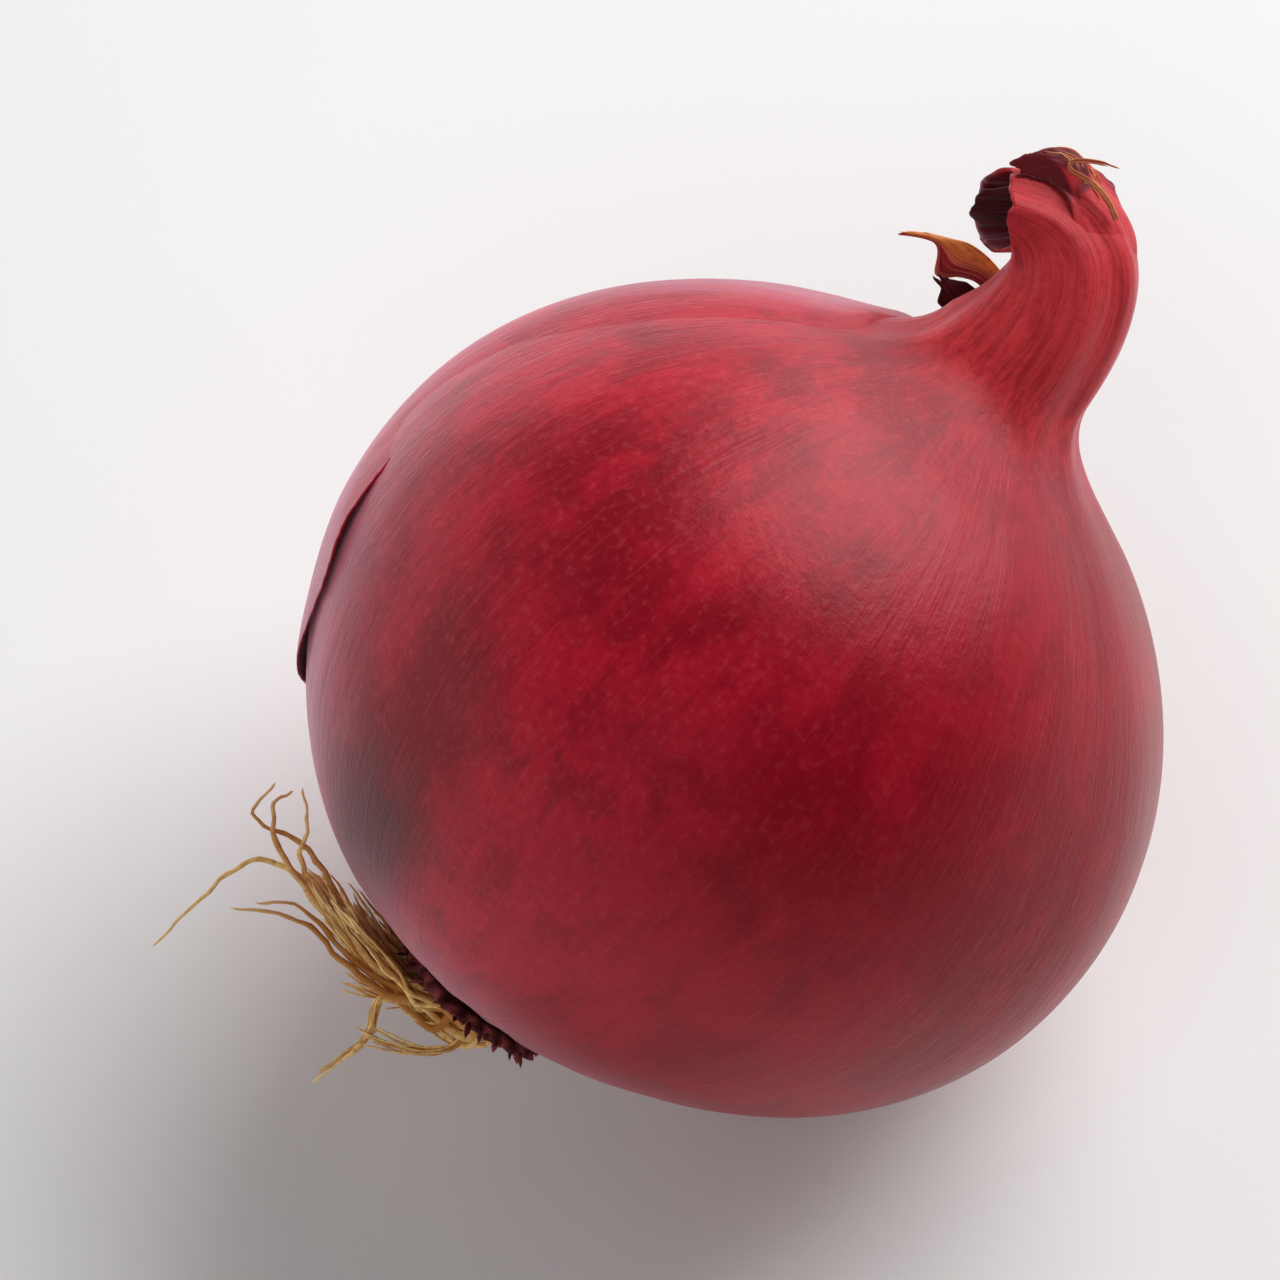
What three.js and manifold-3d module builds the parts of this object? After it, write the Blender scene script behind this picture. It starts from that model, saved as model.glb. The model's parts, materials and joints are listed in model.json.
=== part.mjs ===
// A whole red onion lying on its side: the globe with its dry neck, a loose
// piece of the outermost skin, the corky basal plate with its roots, and the
// dry leaf remains round the neck's torn mouth.
//
// Every piece is drawn in the onion's own frame: Z runs from the root plate to
// the neck, X is the side that the neck's mouth and the roots turn to, and Y is
// the upper side. The group then lays the onion down with its neck raised.
// Lengths are millimetres and angles are degrees unless a name says otherwise.
import * as THREE from "three";
import { mergeVertices } from "three/addons/utils/BufferGeometryUtils.js";
import Module from "manifold-3d";

const { clamp, degToRad, lerp, seededRandom, smoothstep } = THREE.MathUtils;
const wasm = await Module();
wasm.setup();

// The globe.
const GLOBE_RADIUS = 37.3;
const GLOBE_HALF_HEIGHT = 34.2;
const ROOT_END_OFFSET = 2.8; // how far the root end sits off the neck's axis, along X
const RIB_COUNT = 9;
const RIB_DEPTH = 0.15;
const PLEAT_COUNT = 18; // gathers of the skin round the basal plate
const PLEAT_DEPTH = 0.5;
const PLEAT_REACH = 5;

// The neck, which leaves the globe's shoulder, turns to X and ends in a torn mouth.
const SHOULDER_ANGLE = 62;
const SHOULDER_FLATNESS = 0.012;
const NECK_OFFSET = 0.3;
const NECK_BASE_RADIUS = 7.15;
const NECK_BASE_HEIGHT = 38.5;
const MOUTH_INNER = { side: 6.2, height: 45.2 }; // the mouth's corner inside the bend
const MOUTH_OUTER = { side: 10.6, height: 50.3 }; // the mouth's corner outside the bend
const MOUTH_HALF_DEPTH = 4.2;
const FAR_LIP = 3.9; // how far the wall behind stands out past the mouth's plane
const NECK_REACH = 12; // length that one station past the mouth stands for
const NECK_FOLDS = 7;
const NECK_FOLD_DEPTH = 0.3;
const FLAP_HEIGHT = 2.2; // how far the flap stands up over the top of the mouth
const SKIN_WALL = 0.9;
const MOUTH_FLOOR = 0.4; // as a share of the neck's length

// The basal plate and the roots.
const PLATE_RADIUS = 7.2;
const PLATE_FOOT_RADIUS = 4.9;
const PLATE_TEETH = 11;
const CROWN_RADIUS = 4.3;
const ROOT_COUNT = 18;
const ROOT_RADIUS = 0.5;
const ROOT_TIP_RADIUS = 0.3;
const ROOT_SEED = 7;

// Clearance between touching pieces, and the thickness of the thin dry pieces.
const GAP = 0.45;
const HUSK = 0.6;
const LEAF_OFFSET = NECK_FOLD_DEPTH + 0.15 + HUSK / 2; // of a leaf that lies on the neck

// How the onion lies.
const NECK_RISE = 36.6; // of the onion's axis above the surface it rests on
const ROLL = 113.4; // of the onion's X round its axis, from the side that faces down
const FLAT_DEPTH = 0.9; // how far the resting side is flattened

// Mesh fineness.
const SIDES = 68;
const GLOBE_STEPS = 20;
const FLARE_STEPS = 10;
const NECK_STEPS = 10;
const ROOT_SIDES = 4;
const ROOT_STEP = 3;

const round = (count, make) =>
  Array.from({ length: count }, (_, i) => make((2 * Math.PI * i) / count));

// Solids and geometries.

function solidOf(geometry) {
  const bare = geometry.index ? geometry.toNonIndexed() : geometry.clone();
  bare.deleteAttribute("normal");
  bare.deleteAttribute("uv");
  const merged = mergeVertices(bare, 1e-4);
  return new wasm.Manifold(
    new wasm.Mesh({
      numProp: 3,
      vertProperties: merged.attributes.position.array,
      triVerts: new Uint32Array(merged.index.array),
    }),
  );
}

function geometryOf(solid) {
  const mesh = solid.getMesh();
  const geometry = new THREE.BufferGeometry();
  geometry.setAttribute("position", new THREE.BufferAttribute(mesh.vertProperties, 3));
  geometry.setIndex(new THREE.BufferAttribute(mesh.triVerts, 1));
  return geometry;
}

function geometryFrom(points, faces) {
  const geometry = new THREE.BufferGeometry().setFromPoints(points);
  geometry.setIndex(faces);
  return geometry;
}

// A closed body through rings of equal count, with a fan at each end.
function loft(rings) {
  const count = rings[0].length;
  const points = rings.flat();
  const faces = [];
  for (let row = 0; row + 1 < rings.length; row++) {
    for (let i = 0; i < count; i++) {
      const a = row * count + i;
      const b = row * count + ((i + 1) % count);
      faces.push(a, b, b + count, a, b + count, a + count);
    }
  }
  for (const atStart of [true, false]) {
    const first = atStart ? 0 : points.length - 1 - count;
    const rim = points.slice(first, first + count);
    const hub = points.length;
    points.push(rim.reduce((sum, p) => sum.addScaledVector(p, 1 / count), new THREE.Vector3()));
    for (let i = 0; i < count; i++) {
      const a = first + i;
      const b = first + ((i + 1) % count);
      faces.push(...(atStart ? [b, a, hub] : [a, b, hub]));
    }
  }
  return geometryFrom(points, faces);
}

// A thin closed sheet over surface(u, v), thickened to both sides of it.
function sheet(surface, columns, rows) {
  const step = 1e-3;
  const points = [];
  for (const side of [0.5, -0.5]) {
    for (let row = 0; row <= rows; row++) {
      for (let column = 0; column <= columns; column++) {
        const [u, v] = [column / columns, row / rows];
        const alongU = surface(u + step, v).sub(surface(u - step, v));
        const alongV = surface(u, v + step).sub(surface(u, v - step));
        const normal = alongU.cross(alongV).normalize();
        points.push(surface(u, v).addScaledVector(normal, side * HUSK));
      }
    }
  }
  const width = columns + 1;
  const back = width * (rows + 1);
  const faces = [];
  for (let row = 0; row < rows; row++) {
    for (let column = 0; column < columns; column++) {
      const p = row * width + column;
      const [q, s, t] = [p + 1, p + 1 + width, p + width];
      faces.push(p, q, s, p, s, t);
      faces.push(back + p, back + s, back + q, back + p, back + t, back + s);
    }
  }
  const rim = [];
  for (let column = 0; column < columns; column++) rim.push(column);
  for (let row = 0; row < rows; row++) rim.push(row * width + columns);
  for (let column = columns; column > 0; column--) rim.push(rows * width + column);
  for (let row = rows; row > 0; row--) rim.push(row * width);
  rim.forEach((a, i) => {
    const b = rim[(i + 1) % rim.length];
    faces.push(a, back + a, back + b, a, back + b, b);
  });
  return solidOf(geometryFrom(points, faces));
}

// A closed tapering tube along a curve.
function taperedTube(curve, steps, sides, radiusAt) {
  const frames = curve.computeFrenetFrames(steps);
  const rings = [];
  for (let k = 0; k <= steps; k++) {
    const radius = radiusAt(k / steps);
    rings.push(
      round(sides, (angle) =>
        curve
          .getPointAt(k / steps)
          .addScaledVector(frames.normals[k], radius * Math.cos(angle))
          .addScaledVector(frames.binormals[k], radius * Math.sin(angle)),
      ),
    );
  }
  return loft(rings);
}

// The skin's surface. A station runs from 0 at the basal plate to 1 at the
// shoulder, 2 at the neck's base and 3 at the mouth. The angle is in radians
// round the axis, from X to Y.

const plateLatitude = -Math.acos((PLATE_RADIUS - 0.3) / GLOBE_RADIUS);
const shoulderLatitude = degToRad(SHOULDER_ANGLE);

function globeLine(share) {
  const latitude = lerp(plateLatitude, shoulderLatitude, share);
  const flatness = latitude > 0 ? SHOULDER_FLATNESS * Math.sin(2 * latitude) ** 2 : 0;
  return new THREE.Vector2(
    GLOBE_RADIUS * Math.cos(latitude),
    GLOBE_HALF_HEIGHT * Math.sin(latitude),
  ).multiplyScalar(1 - flatness);
}

const shoulder = globeLine(1);
const shoulderSlope = shoulder.clone().sub(globeLine(0.999)).normalize();
const flareLine = new THREE.CubicBezierCurve(
  shoulder,
  shoulder.clone().addScaledVector(shoulderSlope, 6.5),
  new THREE.Vector2(NECK_BASE_RADIUS + 0.75, NECK_BASE_HEIGHT - 4.1),
  new THREE.Vector2(NECK_BASE_RADIUS, NECK_BASE_HEIGHT),
);

// The two sides of the neck in the plane of its bend, as (sideways, height).
const innerSide = new THREE.QuadraticBezierCurve(
  new THREE.Vector2(NECK_OFFSET + NECK_BASE_RADIUS, NECK_BASE_HEIGHT),
  new THREE.Vector2(NECK_OFFSET + NECK_BASE_RADIUS - 1.7, NECK_BASE_HEIGHT + 3),
  new THREE.Vector2(MOUTH_INNER.side, MOUTH_INNER.height),
);
const outerSide = new THREE.CubicBezierCurve(
  new THREE.Vector2(NECK_OFFSET - NECK_BASE_RADIUS, NECK_BASE_HEIGHT),
  new THREE.Vector2(NECK_OFFSET - NECK_BASE_RADIUS + 1, NECK_BASE_HEIGHT + 10.5),
  new THREE.Vector2(MOUTH_OUTER.side - 11.7, MOUTH_OUTER.height + 6.9),
  new THREE.Vector2(MOUTH_OUTER.side, MOUTH_OUTER.height),
);

// A cross-section: its centre, the direction across the bend and its half sizes.
function section(station) {
  if (station <= 2) {
    const { x, y } = station <= 1 ? globeLine(station) : flareLine.getPoint(station - 1);
    const rootward = Math.max(-y / GLOBE_HALF_HEIGHT, 0);
    const rootSide = ROOT_END_OFFSET * (rootward ** 3 - 0.75 * rootward ** 20);
    const centre = new THREE.Vector2(rootSide + NECK_OFFSET * smoothstep(station, 0.8, 1.8), y);
    return { centre, across: new THREE.Vector2(1, 0), wide: x, deep: x };
  }
  const share = Math.min(station - 2, 1);
  const inner = innerSide.getPoint(share);
  const outer = outerSide.getPoint(share);
  const across = inner.clone().sub(outer).normalize();
  const past = NECK_REACH * (station - 2 - share);
  const centre = inner.clone().add(outer).multiplyScalar(0.5);
  centre.add(new THREE.Vector2(-across.y, across.x).multiplyScalar(past));
  const wide = inner.distanceTo(outer) / 2;
  const deep = lerp(NECK_BASE_RADIUS, MOUTH_HALF_DEPTH, smoothstep(share, -0.2, 0.9));
  return { centre, across, wide, deep };
}

// Ribs of the globe, gathers round the plate and folds of the neck.
function relief(station, angle, radius) {
  const ribs = RIB_DEPTH * Math.cos(RIB_COUNT * angle + 0.8 * Math.sin(2 * angle));
  const nearPlate = station < 1 ? Math.exp((PLATE_RADIUS - radius) / PLEAT_REACH) : 0;
  const pleats = PLEAT_DEPTH * nearPlate * Math.cos(PLEAT_COUNT * angle + 0.6 * Math.sin(3 * angle));
  const onNeck = smoothstep(station, 1.2, 2.3);
  const folds = NECK_FOLD_DEPTH * onNeck * Math.cos(NECK_FOLDS * angle + 1.3 * Math.sin(2 * angle));
  return ribs * (1 - onNeck) * (1 - nearPlate) + pleats + folds;
}

function skinPoint(station, angle) {
  const { centre, across, wide, deep } = section(station);
  const lift = relief(station, angle, wide);
  const x = (wide + lift) * Math.cos(angle);
  const y = (deep + lift) * Math.sin(angle);
  return new THREE.Vector3(centre.x + x * across.x, y, centre.y + x * across.y);
}

// A point that stands off the skin, outwards or, where out is negative, inwards.
function offSkin(station, angle, out) {
  const step = 1e-3;
  const along = skinPoint(station + step, angle).sub(skinPoint(station - step, angle));
  const around = skinPoint(station, angle + step).sub(skinPoint(station, angle - step));
  return skinPoint(station, angle).addScaledVector(around.cross(along).normalize(), out);
}

// A point of a plain sleeve round the neck, or inside it where out is negative. It
// doesn't follow the folds, so that a leaf's two sides can't cross in one.
function sleevePoint(station, angle, out) {
  const { centre, across, wide, deep } = section(station);
  const x = (wide + out) * Math.cos(angle);
  const y = (deep + out) * Math.sin(angle);
  return new THREE.Vector3(centre.x + x * across.x, y, centre.y + x * across.y);
}

// Where the neck's wall ends, as a station: near the mouth's plane on the upper
// side, and well past it on the wall behind. The edge is torn.
function lip(angle) {
  const behind = -Math.sin(angle - 0.25);
  const far = FAR_LIP * (0.5 * smoothstep(behind, -0.4, 0.6) + 0.5 * Math.max(behind, 0));
  const ragged = 0.12 * Math.sin(5 * angle + 1) + 0.05 * Math.sin(9 * angle);
  return 3 + (far + ragged) / NECK_REACH;
}

// The globe and its neck, in one piece, with the seat for the basal plate.
function bulb() {
  const root = section(0).centre;
  const seatRing = (r, rise) =>
    round(
      SIDES,
      (angle) => new THREE.Vector3(root.x + r * Math.cos(angle), r * Math.sin(angle), root.y + rise),
    );
  const seatRadius = PLATE_FOOT_RADIUS + GAP;
  const rings = [seatRing(2.4, 1.3), seatRing(seatRadius, 1.2), seatRing(seatRadius, 0.1)];
  for (let k = 0; k < GLOBE_STEPS; k++) {
    rings.push(round(SIDES, (angle) => skinPoint(k / GLOBE_STEPS, angle)));
  }
  for (let k = 0; k < FLARE_STEPS; k++) {
    rings.push(round(SIDES, (angle) => skinPoint(1 + k / FLARE_STEPS, angle)));
  }
  for (let k = 0; k <= NECK_STEPS; k++) {
    rings.push(round(SIDES, (angle) => skinPoint(lerp(2, lip(angle), k / NECK_STEPS), angle)));
  }
  for (let k = NECK_STEPS; k >= 0; k--) {
    const inside = (angle) => lerp(2 + MOUTH_FLOOR, lip(angle), k / NECK_STEPS);
    rings.push(round(SIDES, (angle) => offSkin(inside(angle), angle, -SKIN_WALL)));
  }
  return solidOf(loft(rings)).subtract(surfaceBlock());
}

// Everything below the surface that the onion rests on, in the onion's frame.
function surfaceBlock() {
  const size = 6 * GLOBE_RADIUS;
  const block = new THREE.BoxGeometry(size, size, size).translate(0, 0, -size / 2);
  return solidOf(block.applyMatrix4(lying.matrix.clone().invert()));
}

// The loose outermost skin, torn off along an edge that runs up the globe's
// side. Each point of the edge is (station, angle).
const tearLine = new THREE.SplineCurve(
  [
    [0.14, 0],
    [0.2, -3],
    [0.25, -1],
    [0.29, 9],
    [0.33, 15],
    [0.38, 19],
    [0.44, 22],
    [0.5, 19.5],
    [0.57, 17.5],
    [0.64, 18],
    [0.72, 20],
    [0.82, 25],
    [1.0, 28],
    [1.25, 26],
    [1.45, 8],
    [1.62, -12],
  ].map(([station, angle]) => new THREE.Vector2(station, angle)),
);
const HIDDEN_TEAR_ANGLE = -64;
const TEAR_LIFT = 0.5; // how far the torn edge stands off the skin below it

function outerSkin() {
  const surface = (across, along) => {
    const edge = tearLine.getPoint(clamp(along, 0, 1));
    const ragged = 4 * Math.sin(9 * along) + 2 * Math.sin(23 * along + 1);
    const narrowing = 1 - 0.53 * smoothstep(along, 0.6, 1);
    const angle = lerp((HIDDEN_TEAR_ANGLE + ragged) * narrowing, edge.y, across);
    const open = smoothstep(along, 0.1, 0.3) * smoothstep(-along, -0.7, -0.4);
    const lift = TEAR_LIFT * open * smoothstep(across, 0.6, 1);
    return offSkin(edge.x, degToRad(angle), GAP + HUSK / 2 + lift);
  };
  return sheet(surface, 15, 30);
}

// The corky plate: a disc with a ragged rim of old root stubs, a foot that sits
// in the bulb, and a hollow for the root crown.
function basalPlate() {
  const { centre } = section(0);
  const ragged = (angle) =>
    0.7 * Math.abs(Math.sin(PLATE_TEETH * angle)) + 0.3 * Math.sin(5 * angle + 1);
  // Each row is (radius, height above the seat, share of the ragged rim).
  const rows = [
    [2.2, -1.1, 0],
    [CROWN_RADIUS - 0.4, -1.25, 0],
    [CROWN_RADIUS + GAP, -2, 0],
    [5.7, -2.3, 0.3],
    [PLATE_RADIUS - 0.3, -1.9, 1],
    [PLATE_RADIUS - 0.1, -1.3, 1],
    [PLATE_RADIUS - 0.8, -GAP - 0.35, 0.3],
    [PLATE_FOOT_RADIUS, -GAP - 0.3, 0],
    [PLATE_FOOT_RADIUS - 0.1, 0.8, 0],
  ];
  const rings = rows.map(([radius, rise, share]) =>
    round(44, (angle) => {
      const r = radius + share * ragged(angle);
      return new THREE.Vector3(centre.x + r * Math.cos(angle), r * Math.sin(angle), centre.y + rise);
    }),
  );
  return solidOf(loft(rings));
}

// Roots that leave the bundle, as points measured from the crown's middle.
const strayRoots = [
  // The long thin one that bends away from the onion.
  [[1, 1, 0], [7, 2.4, -1.7], [13.4, 2, -0.8], [18.4, 1.2, 0], [22.3, 1, -2.1], [23.4, 1, -8], [24, 0.6, -13.5]],
  // The stiff loop beside the globe.
  [[1.6, -1, 0], [8.4, 0, -1.3], [15.3, 0.8, 0], [18.8, 1, 0.9], [20, 1, 3.4], [22.6, 0.6, 6]],
  [[1.8, 0.6, 0], [8.6, 1.8, -1.7], [15.9, 1.8, -0.6], [21, 1.4, 0.8], [23.6, 1, 3.4], [23, -0.2, 5]],
  // Hairs off the bundle's end.
  [[2, 0.4, 0], [9.6, 0.8, -1.1], [17.2, 0.6, 1.7], [20.4, 0.8, 2.2], [24.3, 1, 1.5], [24.8, 1, 5]],
  [[1.4, 2, 0], [6.8, 3, -2], [12.4, 2.6, -2], [16.4, 2, -1.8], [19.4, 2, -4]],
  [[0.6, 2.4, 0], [5.8, 3.6, -2.4], [11.4, 3, -2.8], [15.4, 2.4, -2.6], [21, 2, -5.8]],
  // The ones that hang below the plate.
  [[-1, 1.6, 0], [-1.2, 2.6, -2.8], [2, 3, -5.4], [6.4, 2.6, -7]],
  [[0.8, 0, 0], [4.4, 1.6, -2.2], [6.2, 2.2, -4], [5, 2.4, -6.6], [5.3, 2.2, -9.8], [6.2, 2, -13.4]],
  [[0.4, -2, 0], [2.4, -2.6, -2.6], [5.8, -2.8, -4.8], [9.8, -2.2, -6]],
];

// The bundle: roots spread over the crown, which lean to X and follow the globe.
function bundleRoot(index) {
  const turn = 2.4 * index;
  const start = 0.74 * CROWN_RADIUS * Math.sqrt((index + 0.5) / ROOT_COUNT);
  const foot = new THREE.Vector3(start * Math.cos(turn), start * Math.sin(turn), 0);
  const reach = lerp(9, 19, seededRandom());
  const fan = 0.25 * foot.y + lerp(-1.2, 2.6, seededRandom());
  const drop = lerp(-1.8, -3.8, seededRandom());
  const rise = 0.006 * reach * reach;
  const wiggle = () => lerp(-0.5, 0.5, seededRandom());
  const via = (share) =>
    new THREE.Vector3(
      lerp(foot.x, reach, share),
      lerp(foot.y, fan, share) + wiggle(),
      drop * (1 - 0.5 * share) + rise * share * share + wiggle(),
    );
  return [foot, new THREE.Vector3(foot.x + 0.5, foot.y, 0.7 * drop), via(0.4), via(0.7), via(1)];
}

// One node for the whole bunch: the crown and every root fused, with the small
// hollows between the roots filled.
function roots() {
  seededRandom(ROOT_SEED);
  const { centre } = section(0);
  const crownRows = [
    [2.4, -1],
    [CROWN_RADIUS - 0.5, -0.4],
    [CROWN_RADIUS - 0.2, 0.4],
    [CROWN_RADIUS - 0.9, 0.9],
    [1.6, 1],
  ];
  const crown = loft(
    crownRows.map(([radius, rise]) =>
      round(20, (angle) => new THREE.Vector3(radius * Math.cos(angle), radius * Math.sin(angle), rise)),
    ),
  );
  const paths = strayRoots.map((path) => path.map((point) => new THREE.Vector3(...point)));
  for (let i = 0; i < ROOT_COUNT; i++) paths.push(bundleRoot(i));
  const tubes = paths.map((points) => {
    const thick = ROOT_RADIUS * lerp(0.8, 1.3, seededRandom());
    const radiusAt = (share) => lerp(thick, ROOT_TIP_RADIUS, share * share);
    const curve = new THREE.CatmullRomCurve3(points);
    const steps = Math.round(curve.getLength() / ROOT_STEP);
    return solidOf(taperedTube(curve, steps, ROOT_SIDES, radiusAt));
  });
  const bodies = wasm.Manifold.union([solidOf(crown), ...tubes]).decompose();
  const bunch = bodies.reduce((best, body) => (body.volume() > best.volume() ? body : best));
  return bunch.translate([centre.x, 0, centre.y - 2.6]);
}

// The dark inner leaf that lines the back of the mouth.
function innerSheath() {
  const inset = SKIN_WALL + NECK_FOLD_DEPTH + GAP;
  const surface = (share, along) => {
    const angle = degToRad(lerp(200, 320, share));
    const torn = 0.8 * Math.sqrt(Math.max(Math.sin(Math.PI * share), 0)) - 0.5;
    const end = lip(angle) + torn / NECK_REACH;
    return sleevePoint(lerp(2.58, end, along), angle, -inset);
  };
  return sheet((u, v) => surface(1 - u, v), 15, 9);
}

// The flap of the neck's outer leaf: its near edge makes the crease on the neck's
// upper side, and its end stands up in a torn peak over the top of the mouth.
function neckFlap() {
  const surface = (across, along) => {
    const crease = lerp(118, 158, smoothstep(along, 0.1, 0.9));
    const angle = degToRad(lerp(crease, 225, across * (0.4 + 0.6 * across)));
    const notched = 0.12 * smoothstep(across, 0.5, 0.8) + 0.015 * Math.sin(19 * across);
    const station = lerp(lerp(2.64, 2.4, across), 2.99 - notched, along);
    const standing = smoothstep(across, 0, 0.34) * (1 - 0.6 * smoothstep(across, 0.4, 1));
    const rising = 0.4 * smoothstep(along, 0, 0.4) + 0.7 * Math.exp(-(((along - 0.82) / 0.14) ** 2));
    const falling = 0.3 * smoothstep(along, 0.88, 1);
    const curl = FLAP_HEIGHT * standing * (rising - falling);
    return sleevePoint(station, angle, LEAF_OFFSET + curl);
  };
  return sheet(surface, 12, 14);
}

// A torn strip of the neck's outer leaf: it lies on the wall behind, leaves it
// at the inside of the bend and stands out past the neck.
function peeledStrip({ low, high, tip, lay, free, columns, rows }) {
  const surface = (across, along) => {
    const angle = degToRad(lerp(lay.from, lay.to, clamp(along / lay.share, -1, 1)));
    const past = Math.max((along - lay.share) / (1 - lay.share), 0);
    const narrowing = 0.2 * past + 0.5 * smoothstep(past, 0.45, 0.8);
    const flare = free.flare * (1 - across) * Math.exp(-(((past - 0.45) / 0.2) ** 2));
    const station = lerp(lerp(low, high, across), tip, narrowing) - flare;
    const point = sleevePoint(station, angle, LEAF_OFFSET + free.lift * past);
    const wave = 0.7 * Math.sin(7 * across + 4 * along) * past * (1 - past);
    const rise = free.rise * past + free.fall * past * past;
    return point.add(new THREE.Vector3(free.out * past, free.up * past + wave, rise));
  };
  return sheet(surface, columns, rows);
}

function tornStrip() {
  return peeledStrip({
    low: 2.14,
    high: 2.42,
    tip: 2.3,
    lay: { from: -105, to: -42, share: 0.5 },
    free: { lift: 0.6, out: 7.9, up: 1.2, rise: 3.2, fall: -4.1, flare: 0.2 },
    columns: 7,
    rows: 14,
  });
}

function darkStrip() {
  return peeledStrip({
    low: 1.78,
    high: 2.03,
    tip: 1.9,
    lay: { from: -88, to: -40, share: 0.6 },
    free: { lift: 0.4, out: 3.2, up: 2.4, rise: 0.3, fall: 0.3, flare: 0 },
    columns: 5,
    rows: 9,
  });
}

// The thin fibre that springs up from the top of the neck and bends back.
function neckFibre() {
  const path = [
    [3, 2.9, 54.5],
    [4.8, 3, 54.5],
    [7, 3, 54.1],
    [7.2, 2.9, 54.8],
    [5.6, 2.8, 56],
    [3.8, 2.6, 56.7],
  ];
  const curve = new THREE.CatmullRomCurve3(path.map((point) => new THREE.Vector3(...point)));
  return solidOf(taperedTube(curve, 14, ROOT_SIDES, (share) => lerp(0.34, 0.3, share)));
}

// How the onion lies: its neck raised, rolled so that the mouth turns to the
// side, and its flat spot on the surface with the spot's middle at the origin.
const lying = new THREE.Group();
lying.rotation.order = "YZX";
lying.rotation.set(0, degToRad(90 - NECK_RISE), degToRad(ROLL));
const bellyward = Math.cos(degToRad(NECK_RISE));
const rootward = Math.sin(degToRad(NECK_RISE));
const lowest = Math.hypot(GLOBE_RADIUS * bellyward, GLOBE_HALF_HEIGHT * rootward);
const skew = (bellyward * rootward * (GLOBE_HALF_HEIGHT ** 2 - GLOBE_RADIUS ** 2)) / lowest;
lying.position.set(skew, 0, lowest - FLAT_DEPTH);
lying.updateMatrix();

// Finishes and assembly.

const finish = (color, roughness) =>
  new THREE.MeshStandardMaterial({ color, roughness, metalness: 0 });
const redSkin = finish(0x8c1527, 0.38);
const paleSkin = finish(0x9c5468, 0.42);
const darkHusk = finish(0x4a0f18, 0.6);
const orangeHusk = finish(0xb4582a, 0.7);
const cork = finish(0x4f2a1a, 0.9);
const straw = finish(0xbf9450, 0.75);

const pieces = {
  bulb: [bulb, redSkin],
  outer_skin: [outerSkin, paleSkin],
  basal_plate: [basalPlate, cork],
  roots: [roots, straw],
  inner_sheath: [innerSheath, darkHusk],
  neck_flap: [neckFlap, darkHusk],
  torn_strip: [tornStrip, orangeHusk],
  dark_strip: [darkStrip, darkHusk],
  neck_fibre: [neckFibre, orangeHusk],
};
for (const [name, [make, material]] of Object.entries(pieces)) {
  const mesh = new THREE.Mesh(geometryOf(make()), material);
  mesh.name = name;
  lying.add(mesh);
}

const onion = new THREE.Group();
onion.add(lying);

export default onion;
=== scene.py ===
"""Dresses a whole red onion that lies on its side.

Every piece is drawn in the onion's own frame, in millimetres: Z runs from the
root plate to the neck, X is the side that the neck's mouth and the roots turn
to, and Y is the upper side. The finished mesh is then laid down and scaled to
metres, so that its object stays at the origin.
"""

import json
import logging
import math
from dataclasses import dataclass, field
from enum import Enum
from typing import Callable, NamedTuple, Sequence

import bmesh
import bpy
from mathutils import Matrix, Vector, noise

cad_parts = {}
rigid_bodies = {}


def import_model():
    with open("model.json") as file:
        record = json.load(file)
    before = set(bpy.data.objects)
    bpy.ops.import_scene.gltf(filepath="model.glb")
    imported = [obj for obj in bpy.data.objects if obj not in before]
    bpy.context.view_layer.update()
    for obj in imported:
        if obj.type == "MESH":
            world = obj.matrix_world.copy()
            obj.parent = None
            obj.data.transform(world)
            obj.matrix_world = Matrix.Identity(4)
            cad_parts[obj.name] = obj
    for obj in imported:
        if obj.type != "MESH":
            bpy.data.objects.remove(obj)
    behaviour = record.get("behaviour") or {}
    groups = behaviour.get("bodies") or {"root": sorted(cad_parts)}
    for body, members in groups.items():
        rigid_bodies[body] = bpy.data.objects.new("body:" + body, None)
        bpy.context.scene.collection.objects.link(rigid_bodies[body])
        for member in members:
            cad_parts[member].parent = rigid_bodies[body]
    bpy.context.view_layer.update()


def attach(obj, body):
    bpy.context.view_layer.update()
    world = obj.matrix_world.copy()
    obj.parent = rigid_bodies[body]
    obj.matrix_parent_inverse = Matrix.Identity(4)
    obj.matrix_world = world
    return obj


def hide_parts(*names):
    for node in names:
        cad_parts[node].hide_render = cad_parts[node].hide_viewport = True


LOG = logging.getLogger("onion")
TAU = 2 * math.pi
Colour = tuple[float, float, float]
Surface = Callable[[float, float], Vector]
Socket = bpy.types.NodeSocket
Vertex = bmesh.types.BMVert
Value = Socket | float | Colour


def lerp(low: float, high: float, share: float) -> float:
    """Returns the value at a share of the way from low to high."""
    return low + (high - low) * share


def ease(value: float, low: float, high: float) -> float:
    """Rises smoothly from 0 to 1 as a value goes from low to high.

    Args:
        value: The value to read.
        low: Where the rise starts.
        high: Where the rise ends.

    Returns:
        The eased share, from 0 to 1.
    """
    share = min(max((value - low) / (high - low), 0.0), 1.0)
    return share * share * (3 - 2 * share)


def bump_at(value: float, middle: float, width: float) -> float:
    """Returns a soft bump of height 1 round a middle value."""
    return math.exp(-(((value - middle) / width) ** 2))


def bezier(share: float, points: Sequence[Vector]) -> Vector:
    """Returns the point of a Bezier curve of any degree.

    Args:
        share: How far along the curve, from 0 to 1.
        points: The control points.

    Returns:
        The point at that share.
    """
    row = list(points)
    while len(row) > 1:
        row = [a.lerp(b, share) for a, b in zip(row, row[1:])]
    return row[0]


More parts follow.
